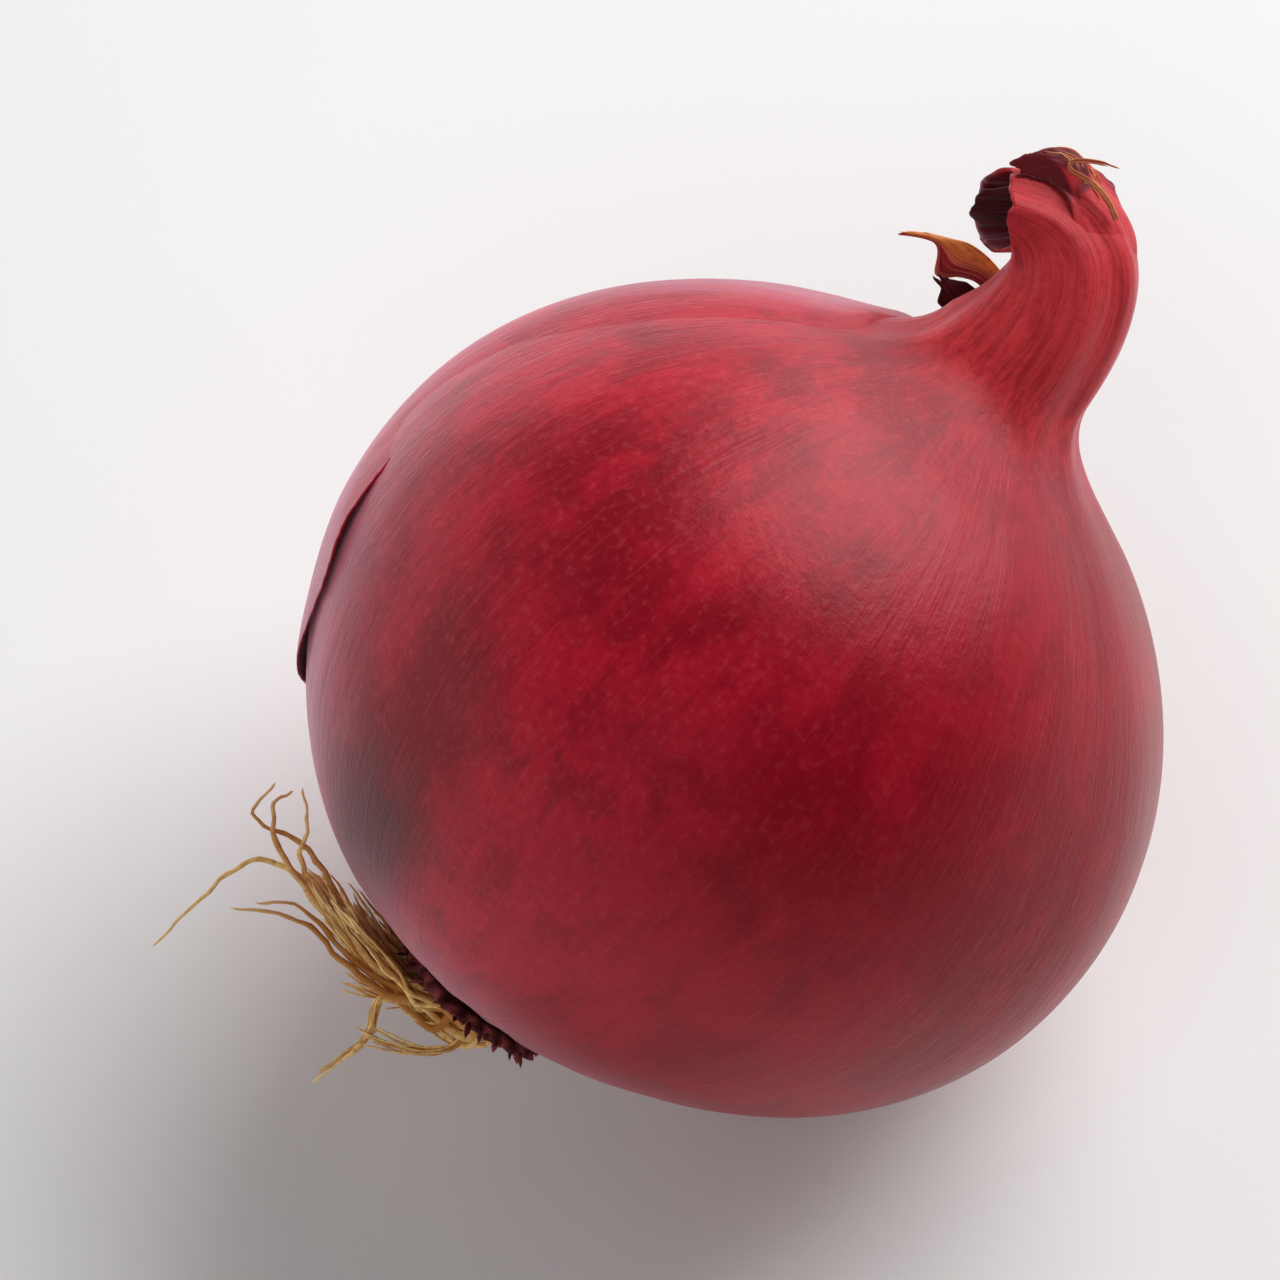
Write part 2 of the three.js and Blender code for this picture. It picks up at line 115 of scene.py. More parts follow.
def spline(share: float, points: Sequence[Vector]) -> Vector:
    """Returns the point of a smooth curve that goes through all its points.

    Args:
        share: How far along the curve, from 0 to 1.
        points: The points that the curve goes through.

    Returns:
        The point at that share.
    """
    place = min(max(share, 0.0), 1.0) * (len(points) - 1)
    at = min(int(place), len(points) - 2)
    t = place - at
    before, start = points[max(at - 1, 0)], points[at]
    end, after = points[at + 1], points[min(at + 2, len(points) - 1)]
    leave, arrive = (end - before) / 2, (after - start) / 2
    return (
        start * (2 * t**3 - 3 * t**2 + 1)
        + leave * (t**3 - 2 * t**2 + t)
        + end * (3 * t**2 - 2 * t**3)
        + arrive * (t**3 - t**2)
    )


class Dice:
    """A seeded row of even random numbers, the same on every run."""

    def __init__(self, seed: int) -> None:
        """Starts the row at a seed."""
        self.state = seed

    def roll(self) -> float:
        """Returns the next number, from 0 to 1."""
        self.state = (self.state + 0x6D2B79F5) & 0xFFFFFFFF
        t = self.state
        t = ((t ^ (t >> 15)) * (t | 1)) & 0xFFFFFFFF
        t ^= (t + (((t ^ (t >> 7)) * (t | 61)) & 0xFFFFFFFF)) & 0xFFFFFFFF
        return ((t ^ (t >> 14)) & 0xFFFFFFFF) / 4294967296

    def between(self, low: float, high: float) -> float:
        """Returns the next number, from low to high."""
        return lerp(low, high, self.roll())


class Section(NamedTuple):
    """A cross-section of the skin's surface.

    Attributes:
        side: The centre's place along X.
        height: The centre's place along Z.
        across: The direction from the outside to the inside of the bend, as (x, z).
        wide: Half size across the bend.
        deep: Half size along Y.
    """

    side: float
    height: float
    across: tuple[float, float]
    wide: float
    deep: float

    def rim(self, radius: float, angle: float, rise: float = 0.0) -> Vector:
        """Returns a point of a flat circle round the centre, at an angle and a rise."""
        return Vector((self.side + radius * math.cos(angle), radius * math.sin(angle), self.height + rise))

    def bent(self, x: float, y: float) -> Vector:
        """Returns the point at x across the bend and y to the upper side."""
        return Vector((self.side + x * self.across[0], y, self.height + x * self.across[1]))


@dataclass(frozen=True)
class SkinForm:
    """The skin's surface, by station and angle.

    A station runs from 0 at the basal plate to 1 at the shoulder, 2 at the
    neck's base and 3 at the mouth. Angles are in radians round the axis, from
    X to Y. Lengths are millimetres.
    """

    globe_radius: float = 37.3
    globe_half_height: float = 34.2
    root_end_offset: float = 2.8
    rib_count: int = 9
    rib_depth: float = 0.15
    pleat_count: int = 18
    pleat_depth: float = 0.5
    pleat_reach: float = 5.0
    plate_radius: float = 7.2
    shoulder_angle: float = 62.0
    shoulder_flatness: float = 0.012
    neck_offset: float = 0.3
    neck_base_radius: float = 7.15
    neck_base_height: float = 38.5
    mouth_inner: tuple[float, float] = (6.2, 45.2)
    mouth_outer: tuple[float, float] = (10.6, 50.3)
    mouth_half_depth: float = 4.2
    far_lip: float = 3.9
    neck_reach: float = 12.0
    neck_folds: int = 7
    neck_fold_depth: float = 0.22
    lip_turn: float = 0.25

    def globe_line(self, share: float) -> Vector:
        """Returns the globe's profile as (radius, height) at a share of its way."""
        low = -math.acos((self.plate_radius - 0.3) / self.globe_radius)
        latitude = lerp(low, math.radians(self.shoulder_angle), share)
        flatness = self.shoulder_flatness * math.sin(2 * latitude) ** 2 if latitude > 0 else 0.0
        profile = Vector(
            (
                self.globe_radius * math.cos(latitude),
                self.globe_half_height * math.sin(latitude),
            )
        )
        return profile * (1 - flatness)

    def flare_line(self, share: float) -> Vector:
        """Returns the profile from the shoulder to the neck's base."""
        shoulder = self.globe_line(1)
        slope = (shoulder - self.globe_line(0.999)).normalized()
        radius, height = self.neck_base_radius, self.neck_base_height
        points = (
            shoulder,
            shoulder + slope * 6.5,
            Vector((radius + 0.75, height - 4.1)),
            Vector((radius, height)),
        )
        return bezier(share, points)

    def inner_side(self, share: float) -> Vector:
        """Returns the neck's side inside its bend, as (sideways, height)."""
        start = self.neck_offset + self.neck_base_radius
        height = self.neck_base_height
        points = (Vector((start, height)), Vector((start - 1.7, height + 3)), Vector(self.mouth_inner))
        return bezier(share, points)

    def outer_side(self, share: float) -> Vector:
        """Returns the neck's side outside its bend, as (sideways, height)."""
        start = self.neck_offset - self.neck_base_radius
        height = self.neck_base_height
        side, top = self.mouth_outer
        points = (
            Vector((start, height)),
            Vector((start + 1, height + 10.5)),
            Vector((side - 11.7, top + 6.9)),
            Vector((side, top)),
        )
        return bezier(share, points)

    def section(self, station: float) -> Section:
        """Returns the cross-section at a station."""
        if station <= 2:
            line = self.globe_line(station) if station <= 1 else self.flare_line(station - 1)
            rootward = max(-line.y / self.globe_half_height, 0.0)
            side = self.root_end_offset * (rootward**3 - 0.75 * rootward**20)
            side += self.neck_offset * ease(station, 0.8, 1.8)
            return Section(side, line.y, (1.0, 0.0), line.x, line.x)
        share = min(station - 2, 1.0)
        inner, outer = self.inner_side(share), self.outer_side(share)
        across = (inner - outer).normalized()
        past = self.neck_reach * (station - 2 - share)
        centre = (inner + outer) / 2 + Vector((-across.y, across.x)) * past
        wide = (inner - outer).length / 2
        taper = max(ease(share, -0.2, 0.9) - 0.09, 0) / 0.91
        deep = lerp(self.neck_base_radius, self.mouth_half_depth, taper)
        return Section(centre.x, centre.y, (across.x, across.y), wide, deep)

    def relief(self, station: float, angle: float, radius: float) -> float:
        """Returns how far ribs, gathers and folds lift the skin, in millimetres."""
        ribs = self.rib_depth * math.cos(self.rib_count * angle + 0.8 * math.sin(2 * angle))
        ribs += 0.012 * math.cos(46 * angle + 2.2 * math.sin(3 * angle))
        near = math.exp((self.plate_radius - radius) / self.pleat_reach) if station < 1 else 0.0
        pleats = self.pleat_depth * math.cos(self.pleat_count * angle + 0.6 * math.sin(3 * angle))
        pleats += 0.14 * math.cos(43 * angle + 1.7 * math.sin(2 * angle))
        on_neck = ease(station, 1.2, 2.3)
        folds = self.neck_fold_depth * math.cos(self.neck_folds * angle + 1.3 * math.sin(2 * angle))
        place = Vector((math.cos(angle), math.sin(angle), 0.5 * station))
        folds += 0.22 * noise.noise(place * 2.1) + 0.09 * noise.noise(place * 6)
        return ribs * (1 - on_neck) * (1 - near) + pleats * near + folds * on_neck

    def point_in(self, section: Section, station: float, angle: float) -> Vector:
        """Returns the surface's point at an angle of a known section."""
        lift = self.relief(station, angle, section.wide)
        return section.bent((section.wide + lift) * math.cos(angle), (section.deep + lift) * math.sin(angle))

    def point(self, station: float, angle: float) -> Vector:
        """Returns the surface's point at a station and angle."""
        return self.point_in(self.section(station), station, angle)

    def normal(self, station: float, angle: float) -> Vector:
        """Returns the direction straight out of the skin."""
        step = 1e-3
        along = self.point(station + step, angle) - self.point(station - step, angle)
        around = self.point(station, angle + step) - self.point(station, angle - step)
        return around.cross(along).normalized()

    def off(self, station: float, angle: float, out: float) -> Vector:
        """Returns a point that stands off the skin, inwards where out is negative."""
        return self.point(station, angle) + self.normal(station, angle) * out

    def sleeve(self, station: float, angle: float, out: float) -> Vector:
        """Returns a point of a plain sleeve round the neck, which doesn't follow its folds."""
        part = self.section(station)
        return part.bent((part.wide + out) * math.cos(angle), (part.deep + out) * math.sin(angle))

    def way(self, station: float) -> float:
        """Returns how far a station is from the plate along the skin, in globe radii."""
        return 2 * min(station, 1) + 0.7 * min(max(station - 1, 0), 1) + 0.35 * max(station - 2, 0)

    def behind(self, angle: float) -> float:
        """Returns how far an angle is to the wall behind the mouth, from -1 to 1."""
        return -math.sin(angle - self.lip_turn)

    def dryness(self, station: float) -> float:
        """Returns how dry and fibrous the skin is, which grows towards the neck."""
        return ease(station, 1.15, 2.2)

    def on_globe(self, station: float) -> float:
        """Returns 1 on the globe, and less past the shoulder."""
        return 1 - ease(station, 1.1, 1.5)

    def lip(self, angle: float) -> float:
        """Returns the station at which the neck's torn wall ends."""
        behind = self.behind(angle)
        far = self.far_lip * (0.5 * ease(behind, -0.4, 0.6) + 0.5 * max(behind, 0))
        ragged = 0.12 * math.sin(5 * angle + 1) + 0.05 * math.sin(9 * angle)
        ragged += 0.03 * math.sin(21 * angle + 2)
        return 3 + (far + ragged) / self.neck_reach


@dataclass(frozen=True)
class Lying:
    """How the onion lies on its flat spot, as angles in degrees and millimetres."""

    neck_rise: float = 36.6
    roll: float = 113.4
    flat_depth: float = 0.9

    def matrix(self, form: SkinForm) -> Matrix:
        """Returns the step from the onion's frame in mm to the part's frame in m."""
        belly = math.cos(math.radians(self.neck_rise))
        root = math.sin(math.radians(self.neck_rise))
        radius, half = form.globe_radius, form.globe_half_height
        lowest = math.hypot(radius * belly, half * root)
        skew = belly * root * (half**2 - radius**2) / lowest
        turn = Matrix.Rotation(math.radians(90 - self.neck_rise), 4, "Y")
        turn = turn @ Matrix.Rotation(math.radians(self.roll), 4, "Z")
        place = Matrix.Translation(Vector((skew, 0, lowest - self.flat_depth)))
        return Matrix.Diagonal((0.001, 0.001, 0.001, 1)) @ place @ turn


class Slot(Enum):
    """The name of a finish in the record, which each piece carries."""

    BULB_SKIN = "bulb_skin"
    PALE_SKIN = "pale_skin"
    CORK = "cork"
    STRAW = "straw"
    DARK_HUSK = "dark_husk"
    ORANGE_HUSK = "orange_husk"


class NodeDesk:
    """Lays out the nodes of a material or a world, so that a finish reads as a recipe."""

    def __init__(self, owner: bpy.types.Material | bpy.types.World, shader: str) -> None:
        """Starts the nodes of a new material or world, which come with a shader."""
        owner.use_nodes = True
        self.owner = owner
        self.tree = owner.node_tree
        self.shader = self.tree.nodes[shader]
        self.coordinates = self.tree.nodes.new("ShaderNodeTexCoord").outputs
        self.objects = self.coordinates["Object"]

    @classmethod
    def for_finish(cls, name: str) -> "NodeDesk":
        """Starts a new material with its surface shader."""
        return cls(bpy.data.materials.new(name), "Principled BSDF")

    def put(self, socket: Socket, value: object) -> None:
        """Links a socket to an output, or sets it to a plain value."""
        if isinstance(value, Socket):
            self.tree.links.new(value, socket)
        elif isinstance(value, tuple) and len(value) == 3 and len(socket.default_value) == 4:
            socket.default_value = (*value, 1.0)
        else:
            socket.default_value = value

    def node(self, kind: str, inputs: dict[str | int, Value], **settings: str) -> bpy.types.Node:
        """Adds a node.

        Args:
            kind: The node's type, without the words that all types start with.
            inputs: What its inputs are linked or set to, by name or number.
            settings: Its own settings.

        Returns:
            The node.
        """
        node = self.tree.nodes.new("ShaderNode" + kind)
        for name, value in settings.items():
            setattr(node, name, value)
        for key, value in inputs.items():
            self.put(node.inputs[key], value)
        return node

    def attribute(self, name: str) -> Socket:
        """Returns a vector that the mesh carries."""
        return self.node("Attribute", {}, attribute_name=name).outputs["Vector"]

    def parts(self, vector: Socket) -> list[Socket]:
        """Returns a vector's three numbers."""
        return list(self.node("SeparateXYZ", {0: vector}).outputs)

    def stretched(self, vector: Socket, scale: Colour) -> Socket:
        """Returns a vector stretched by its own scale on each axis."""
        return self.node("Mapping", {"Vector": vector, "Scale": scale}).outputs[0]

    def noise(
        self,
        vector: Socket,
        scale: float,
        detail: float = 3.0,
        roughness: float = 0.5,
        distortion: float = 0.0,
    ) -> Socket:
        """Returns cloudy noise round 0.5.

        Args:
            vector: Where to read it.
            scale: How fine it is.
            detail: How many finer layers it has.
            roughness: How strong those layers are.
            distortion: How much it swirls.

        Returns:
            The noise's output.
        """
        look = {"Scale": scale, "Detail": detail, "Roughness": roughness, "Distortion": distortion}
        return self.node("TexNoise", {"Vector": vector, **look}).outputs["Fac"]

    def range(
        self,
        value: Socket,
        low: float,
        high: float,
        to_low: float = 0.0,
        to_high: float = 1.0,
    ) -> Socket:
        """Returns a value moved smoothly from one range to another.

        Args:
            value: The value to read.
            low: The value that gives to_low.
            high: The value that gives to_high.
            to_low: What comes out at low.
            to_high: What comes out at high.

        Returns:
            The new value, held within its range.
        """
        ends = {"From Min": low, "From Max": high, "To Min": to_low, "To Max": to_high}
        node = self.node("MapRange", {"Value": value, **ends}, interpolation_type="SMOOTHSTEP")
        return node.outputs["Result"]

    def sum(self, *terms: tuple[float, Socket | float]) -> Socket:
        """Returns a weighted sum of (weight, value) terms."""
        total = 0.0
        for weight, value in terms:
            node = self.node("Math", {0: value, 1: weight, 2: total}, operation="MULTIPLY_ADD")
            total = node.outputs[0]
        return total

    def product(self, a: Socket, b: Socket) -> Socket:
        """Returns the product of two values."""
        return self.node("Math", {0: a, 1: b}, operation="MULTIPLY").outputs[0]

    def mix(self, share: Value, under: Value, over: Value) -> Socket:
        """Returns one colour laid over another, by a share from 0 to 1."""
        node = self.node("Mix", {}, data_type="RGBA")
        sockets = [socket for socket in node.inputs if socket.enabled]
        for socket, value in zip(sockets, (share, under, over)):
            self.put(socket, value)
        return next(socket for socket in node.outputs if socket.enabled)

    def layers(self, colour: Value, rows: Sequence[tuple[Socket, float, float, float, Colour]]) -> Socket:
        """Returns a colour with others laid over it in turn.

        Args:
            colour: The lowest colour.
            rows: For each layer its pattern, the values of the pattern where it
                starts and is strongest, its share there, and its colour.

        Returns:
            The layered colour.
        """
        for pattern, start, full, share, over in rows:
            colour = self.mix(self.range(pattern, start, full, 0, share), colour, over)
        return colour

    def bump(
        self,
        height: Socket,
        depth: float,
        under: Socket | None = None,
    ) -> Socket:
        """Returns a normal that the height tilts.

        Args:
            height: The height, as a share of the depth.
            depth: The relief's depth in metres.
            under: A normal that this one is laid over.

        Returns:
            The tilted normal.
        """
        inputs = {"Strength": 1.0, "Distance": depth, "Height": height}
        if under is not None:
            inputs["Normal"] = under
        return self.node("Bump", inputs).outputs[0]

    def finish(
        self,
        colour: Socket,
        roughness: Socket,
        normal: Socket,
        **plain: Socket | float | Colour,
    ) -> bpy.types.Material:
        """Joins a recipe to the shader.

        Args:
            colour: The surface's colour.
            roughness: The surface's roughness.
            normal: The tilted normal.
            plain: The other inputs, by socket name.

        Returns:
            The finished material.
        """
        plain.update(base_color=colour, roughness=roughness, normal=normal)
        for name, value in plain.items():
            self.put(self.shader.inputs[name.replace("_", " ").title().replace("Ior", "IOR")], value)
        return self.owner


@dataclass(frozen=True)
class SkinFinish:
    """The satin skin of the globe and neck, streaked along the onion.

    The mesh carries "skin", (cosine, sine, way along) round the axis, "tone",
    how much of the painted shade patch, the dry neck and the third tone a point
    has, the third being painted shade in the mouth and the flap's crease, the
    flap's darker torn end and a darker band round the plate's seat, and "leaf",
    how pale and mauve the skin is, partly a painted sheen on the globe, and how
    much painted shade darkens one side of the globe.
    """

    name: str
    deep: Colour
    bright: Colour
    vein: Colour
    # The colour of the painted shade, near black, for the dark patch and the shade in hollows.
    painted_shade: Colour
    neck: Colour
    neck_deep: Colour
    pale: Colour
    paper: Colour
    gloss: float
    sheen: float

    def make(self) -> bpy.types.Material:
        """Returns the finished material."""
        desk = NodeDesk.for_finish(self.name)
        skin, tone, leaf = (desk.attribute(name) for name in ("skin", "tone", "leaf"))
        painted_shade, neck, root = desk.parts(tone)
        loose, shade, _ = desk.parts(leaf)
        clouds = desk.noise(desk.objects, 52, 4, 0.55, 0.3)
        blotches = desk.noise(desk.stretched(skin, (6.5, 6.5, 5.5)), 1, 5, 0.62, 0.4)
        streaks = desk.noise(desk.stretched(skin, (32, 32, 5)), 1, 4, 0.6, 0.15)
        scratches = desk.noise(desk.stretched(skin, (120, 120, 11)), 1, 2, 0.5)
        grain = desk.noise(desk.objects, 1300, 3, 0.6)
        wisps = desk.noise(desk.stretched(skin, (9, 9, 7)), 1, 5, 0.62, 0.3)
        fibres = desk.noise(desk.stretched(skin, (26, 26, 12)), 1, 3, 0.6, 0.2)
        mottle = desk.noise(desk.objects, 190, 4, 0.62, 0.5)
        colour = desk.mix(desk.range(clouds, 0.4, 0.62), self.deep, self.bright)
        colour = desk.layers(
            colour,
            (
                (blotches, 0.5, 0.66, 0.65, self.bright),
                (blotches, 0.5, 0.34, 0.7, self.deep),
                (mottle, 0.54, 0.72, 0.5, self.bright),
                (mottle, 0.47, 0.3, 0.6, self.deep),
                (streaks, 0.52, 0.74, 0.35, self.bright),
                (streaks, 0.48, 0.28, 0.45, self.deep),
                (scratches, 0.58, 0.78, 0.22, self.vein),
                (grain, 0.52, 0.72, 0.22, self.vein),
                (grain, 0.5, 0.3, 0.35, self.deep),
            ),
        )
        # Painted shade: one side of the globe is laid over with the deep red.
        colour = desk.mix(desk.sum((0.55, shade)), colour, self.deep)
        # Painted shade: a dark patch beside the roots, with a ragged edge from the streaks and blotches.
        shaded = desk.sum((1, painted_shade), (0.35, streaks), (0.45, blotches), (-0.2, clouds))
        colour = desk.mix(desk.range(shaded, 0.42, 1.2), colour, self.painted_shade)
        dry = desk.layers(
            desk.mix(desk.range(wisps, 0.32, 0.62), self.neck_deep, self.neck),
            (
                (fibres, 0.52, 0.76, 0.35, self.vein),
                (fibres, 0.48, 0.28, 0.35, self.deep),
                (grain, 0.5, 0.3, 0.3, self.deep),
            ),
        )
        colour = desk.mix(desk.range(neck, 0.1, 0.9, 0, 0.8), colour, dry)
        papery = desk.mix(desk.range(blotches, 0.52, 0.7), self.pale, self.paper)
        papery = desk.layers(papery, ((streaks, 0.5, 0.3, 0.6, self.deep),))
        # Pale mauve: the loose skin's own colour, and on the globe partly a painted sheen along its edge on
        # the roots' side.
        colour = desk.mix(desk.sum((0.85, loose)), colour, papery)
        # Painted shade in the mouth's lining and the flap's crease, with the flap's darker torn end and a
        # darker band round the plate's seat.
        colour = desk.layers(colour, ((root, 0.2, 1.0, 0.9, self.painted_shade),))
        roughness = desk.sum((0.14, clouds), (0.14, neck), (0.08, grain), (1, self.gloss))
        dulled = desk.sum((1, shade), (0.6, painted_shade))
        smooth = desk.range(neck, 0, 1, 1, 0.12)
        normal = desk.bump(grain, 0.00005)
        normal = desk.bump(desk.product(desk.sum((0.3, scratches), (0.7, streaks)), smooth), 0.00009, normal)
        normal = desk.bump(desk.product(desk.sum((0.5, wisps), (0.5, fibres)), neck), 0.00012, normal)
        return desk.finish(
            colour,
            roughness,
            normal,
            specular_ior_level=0.25,
            sheen_weight=desk.range(dulled, 0.0, 0.8, self.sheen, 0.12 * self.sheen),
            sheen_roughness=0.34,
            sheen_tint=(0.95, 0.52, 0.66),
        )


@dataclass(frozen=True)
class LeafFinish:
    """A thin dry leaf with fibres along it.

    The mesh carries "leaf", (share across, share along, chance).
    """

    name: str
    low: Colour
    high: Colour
    fibre: Colour
    shade: Colour
    turn: tuple[float, float] = (0.2, 0.8)
    turn_by: tuple[float, float] = (0.0, 1.0)
    fineness: float = 22.0
    roughness: float = 0.55
    fibre_share: float = 0.6

    def make(self) -> bpy.types.Material:
        """Returns the finished material."""
        desk = NodeDesk.for_finish(self.name)
        leaf = desk.attribute("leaf")
        across, along, _ = desk.parts(leaf)
        fibres = desk.noise(desk.stretched(leaf, (self.fineness, 1.6, 3)), 1, 4, 0.65, 0.3)
        fine = desk.noise(desk.stretched(leaf, (self.fineness * 3, 3.0, 5)), 1, 3, 0.6)
        clouds = desk.noise(desk.objects, 260, 3, 0.6)
        turning = desk.sum((self.turn_by[0], across), (self.turn_by[1], along), (0.25, fibres))
        colour = desk.mix(desk.range(turning, *self.turn), self.low, self.high)
        colour = desk.layers(
            colour,
            (
                (clouds, 0.45, 0.3, 0.7, self.shade),
                (fibres, 0.48, 0.68, self.fibre_share, self.fibre),
                (fine, 0.5, 0.35, 0.5, self.shade),
            ),
        )
        roughness = desk.sum((0.2, clouds), (1, self.roughness - 0.1))
        normal = desk.bump(desk.sum((0.6, fibres), (0.4, fine)), 0.00025)
        return desk.finish(
            colour,
            roughness,
            normal,
            specular_ior_level=0.4,
            sheen_weight=0.15,
            sheen_tint=(0.9, 0.6, 0.6),
        )


@dataclass(frozen=True)
class StrandFinish:
    """Dry roots, stubs and fibres, each a little different.

    The mesh carries "leaf", (chance, share along, chance).
    """

    name: str
    dark: Colour
    pale: Colour
    tip: Colour
    roughness: float = 0.75

    def make(self) -> bpy.types.Material:
        """Returns the finished material."""
        desk = NodeDesk.for_finish(self.name)
        leaf = desk.attribute("leaf")
        chance, along, _ = desk.parts(leaf)
        fine = desk.noise(desk.objects, 1500, 3, 0.6)
        clouds = desk.noise(desk.objects, 320, 3, 0.6)
        colour = desk.mix(desk.range(desk.sum((0.7, chance), (0.6, clouds)), 0.3, 0.9), self.dark, self.pale)
        colour = desk.layers(colour, ((fine, 0.55, 0.35, 0.6, self.dark), (along, 0.7, 1.0, 0.6, self.tip)))
        roughness = desk.sum((0.2, fine), (1, self.roughness - 0.1))
        normal = desk.bump(desk.sum((0.5, fine), (0.5, clouds)), 0.0002)
        return desk.finish(colour, roughness, normal, specular_ior_level=0.3)


SKIN = dict(
    deep=(0.24, 0.0016, 0.009),
    bright=(0.47, 0.006, 0.024),
    vein=(0.6, 0.07, 0.09),
    # The painted shade's colour, near black.
    painted_shade=(0.085, 0.0045, 0.009),
    neck=(0.66, 0.042, 0.05),
    neck_deep=(0.42, 0.02, 0.027),
    pale=(0.5, 0.13, 0.2),
    paper=(0.55, 0.24, 0.26),
)
BULB_SKIN = SkinFinish("bulb_skin", **SKIN, gloss=0.24, sheen=0.55)
PALE_SKIN = SkinFinish("pale_skin", **SKIN, gloss=0.28, sheen=0.6)
FLAP_SKIN = SkinFinish("flap_skin", **SKIN, gloss=0.3, sheen=0.3)
DARK_LEAF = LeafFinish(
    "dark_husk",
    low=(0.075, 0.006, 0.012),
    high=(0.07, 0.006, 0.01),
    fibre=(0.2, 0.03, 0.035),
    shade=(0.018, 0.001, 0.003),
)
ORANGE_LEAF = LeafFinish(
    "orange_husk",
    low=(0.42, 0.03, 0.04),
    high=(1.0, 0.36, 0.07),
    fibre=(0.95, 0.36, 0.2),
    shade=(0.34, 0.02, 0.025),
    turn=(0.5, 0.95),
    turn_by=(0.75, 0.25),
    fineness=15.0,
    fibre_share=0.9,
)
FIBRE = StrandFinish("fibre", dark=(0.4, 0.09, 0.04), pale=(0.85, 0.34, 0.15), tip=(0.55, 0.13, 0.06))
STRAW = StrandFinish("straw", dark=(0.5, 0.2, 0.045), pale=(1.0, 0.7, 0.28), tip=(1.0, 0.74, 0.38))
CORK = StrandFinish(
    "cork", dark=(0.05, 0.007, 0.01), pale=(0.26, 0.05, 0.045), tip=(0.05, 0.015, 0.015), roughness=0.9
)

Finish = SkinFinish | LeafFinish | StrandFinish


class Weave:
    """A bmesh that carries the vectors that the finishes read."""

    def __init__(self) -> None:
        """Starts an empty mesh."""
        self.mesh = bmesh.new()
        layers = self.mesh.verts.layers.float_vector
        self.layers = {name: layers.new(name) for name in ("skin", "tone", "leaf")}

    def grid(
        self,
        surface: Surface,
        columns: int,
        rows: int,
        mark: Callable[[Vertex, float, float], None],
    ) -> None:
        """Bends a flat grid over a surface.

        Args:
            surface: The place of each (share across, share along).
            columns: Faces across.
            rows: Faces along.
            mark: Writes a vertex's carried vectors.
        """
        bmesh.ops.create_grid(self.mesh, x_segments=columns, y_segments=rows, size=0.5)
        for vert in self.mesh.verts:
            across, along = vert.co.x + 0.5, vert.co.y + 0.5
            vert.co = surface(across, along)
            mark(vert, across, along)

    def mark_skin(self, vert: Vertex, way: float, angle: float, tone: Colour, leaf: Colour) -> None:
        """Writes a point's place on the skin and the tones it has there."""
        vert[self.layers["skin"]] = Vector((math.cos(angle), math.sin(angle), way))
        vert[self.layers["tone"]] = Vector(tone)
        vert[self.layers["leaf"]] = Vector(leaf)

    def strand(self, path: Sequence[Vector], radii: Sequence[float], sides: int, chance: float) -> None:
        """Extrudes a ring along a path, with a point at each end.

        Args:
            path: The points along the middle.
            radii: The radius at each point.
            sides: How many sides the strand has.
            chance: The strand's own random number, which its finish reads.
        """
        part = Weave()
        frames = strand_frames(path, radii)
        ring = bmesh.ops.create_circle(part.mesh, segments=sides, radius=1.0, matrix=frames[0])["verts"]
        rings = [ring]
        edges = part.mesh.edges[:]
        for before, after in zip(frames, frames[1:]):
            made = bmesh.ops.extrude_edge_only(part.mesh, edges=edges)["geom"]
            ring = [g for g in made if isinstance(g, Vertex)]
            edges = [g for g in made if isinstance(g, bmesh.types.BMEdge)]
            edges = [e for e in edges if all(v in ring for v in e.verts)]
            bmesh.ops.transform(part.mesh, matrix=after @ before.inverted(), verts=ring)
            rings.append(ring)
        leaf = part.layers["leaf"]
        for at, verts in enumerate(rings):
            for vert in verts:
                vert[leaf] = Vector((chance, at / (len(rings) - 1), chance))
        for verts, tip in ((rings[0], path[0]), (rings[-1], path[-1])):
            bmesh.ops.pointmerge(part.mesh, verts=verts, merge_co=tip)
        bmesh.ops.recalc_face_normals(part.mesh, faces=part.mesh.faces[:])
        self.join(part)

    def join(self, other: "Weave") -> None:
        """Takes in another mesh and frees it."""
        loose = bpy.data.meshes.new("loose")
        other.mesh.to_mesh(loose)
        other.mesh.free()
        self.mesh.from_mesh(loose)
        bpy.data.meshes.remove(loose)

    def thicken(self, thickness: float) -> None:
        """Gives an open sheet its thickness and closed edges."""
        self.mesh.normal_update()
        made = bmesh.ops.extrude_face_region(self.mesh, geom=self.mesh.faces[:], use_keep_orig=True)
        far = [g for g in made["geom"] if isinstance(g, Vertex)]
        for vert in far:
            vert.co += vert.normal * thickness
        bmesh.ops.recalc_face_normals(self.mesh, faces=self.mesh.faces[:])

    def weld(self) -> None:
        """Merges the seam and the poles, and turns the faces outwards."""
        bmesh.ops.remove_doubles(self.mesh, verts=self.mesh.verts[:], dist=1e-4)
        bmesh.ops.recalc_face_normals(self.mesh, faces=self.mesh.faces[:])


def add_object(name: str, data: bpy.types.ID) -> bpy.types.Object:
    """Makes an object of a mesh, a light or a camera and links it."""
    made = bpy.data.objects.new(name, data)
    bpy.context.collection.objects.link(made)
    return made


def strand_frames(path: Sequence[Vector], radii: Sequence[float]) -> list[Matrix]:
    """Returns a frame for each point of a path, which turn as little as they can.

    Args:
        path: The points along the middle.
        radii: The radius at each point, which scales the frame.

    Returns:
        One matrix for each point, with Z along the path.
    """
    frames = []
    side = Vector((0.3, 0.5, 0.8))
    for at, point in enumerate(path):
        before, after = path[max(at - 1, 0)], path[min(at + 1, len(path) - 1)]
        along = (after - before).normalized()
        side = side - along * side.dot(along)
        side = side.normalized() if side.length > 1e-3 else along.orthogonal().normalized()
        other = along.cross(side)
        turn = Matrix((side, other, along)).transposed().to_4x4()
        frames.append(Matrix.Translation(point) @ turn @ Matrix.Scale(radii[at], 4))
    return frames


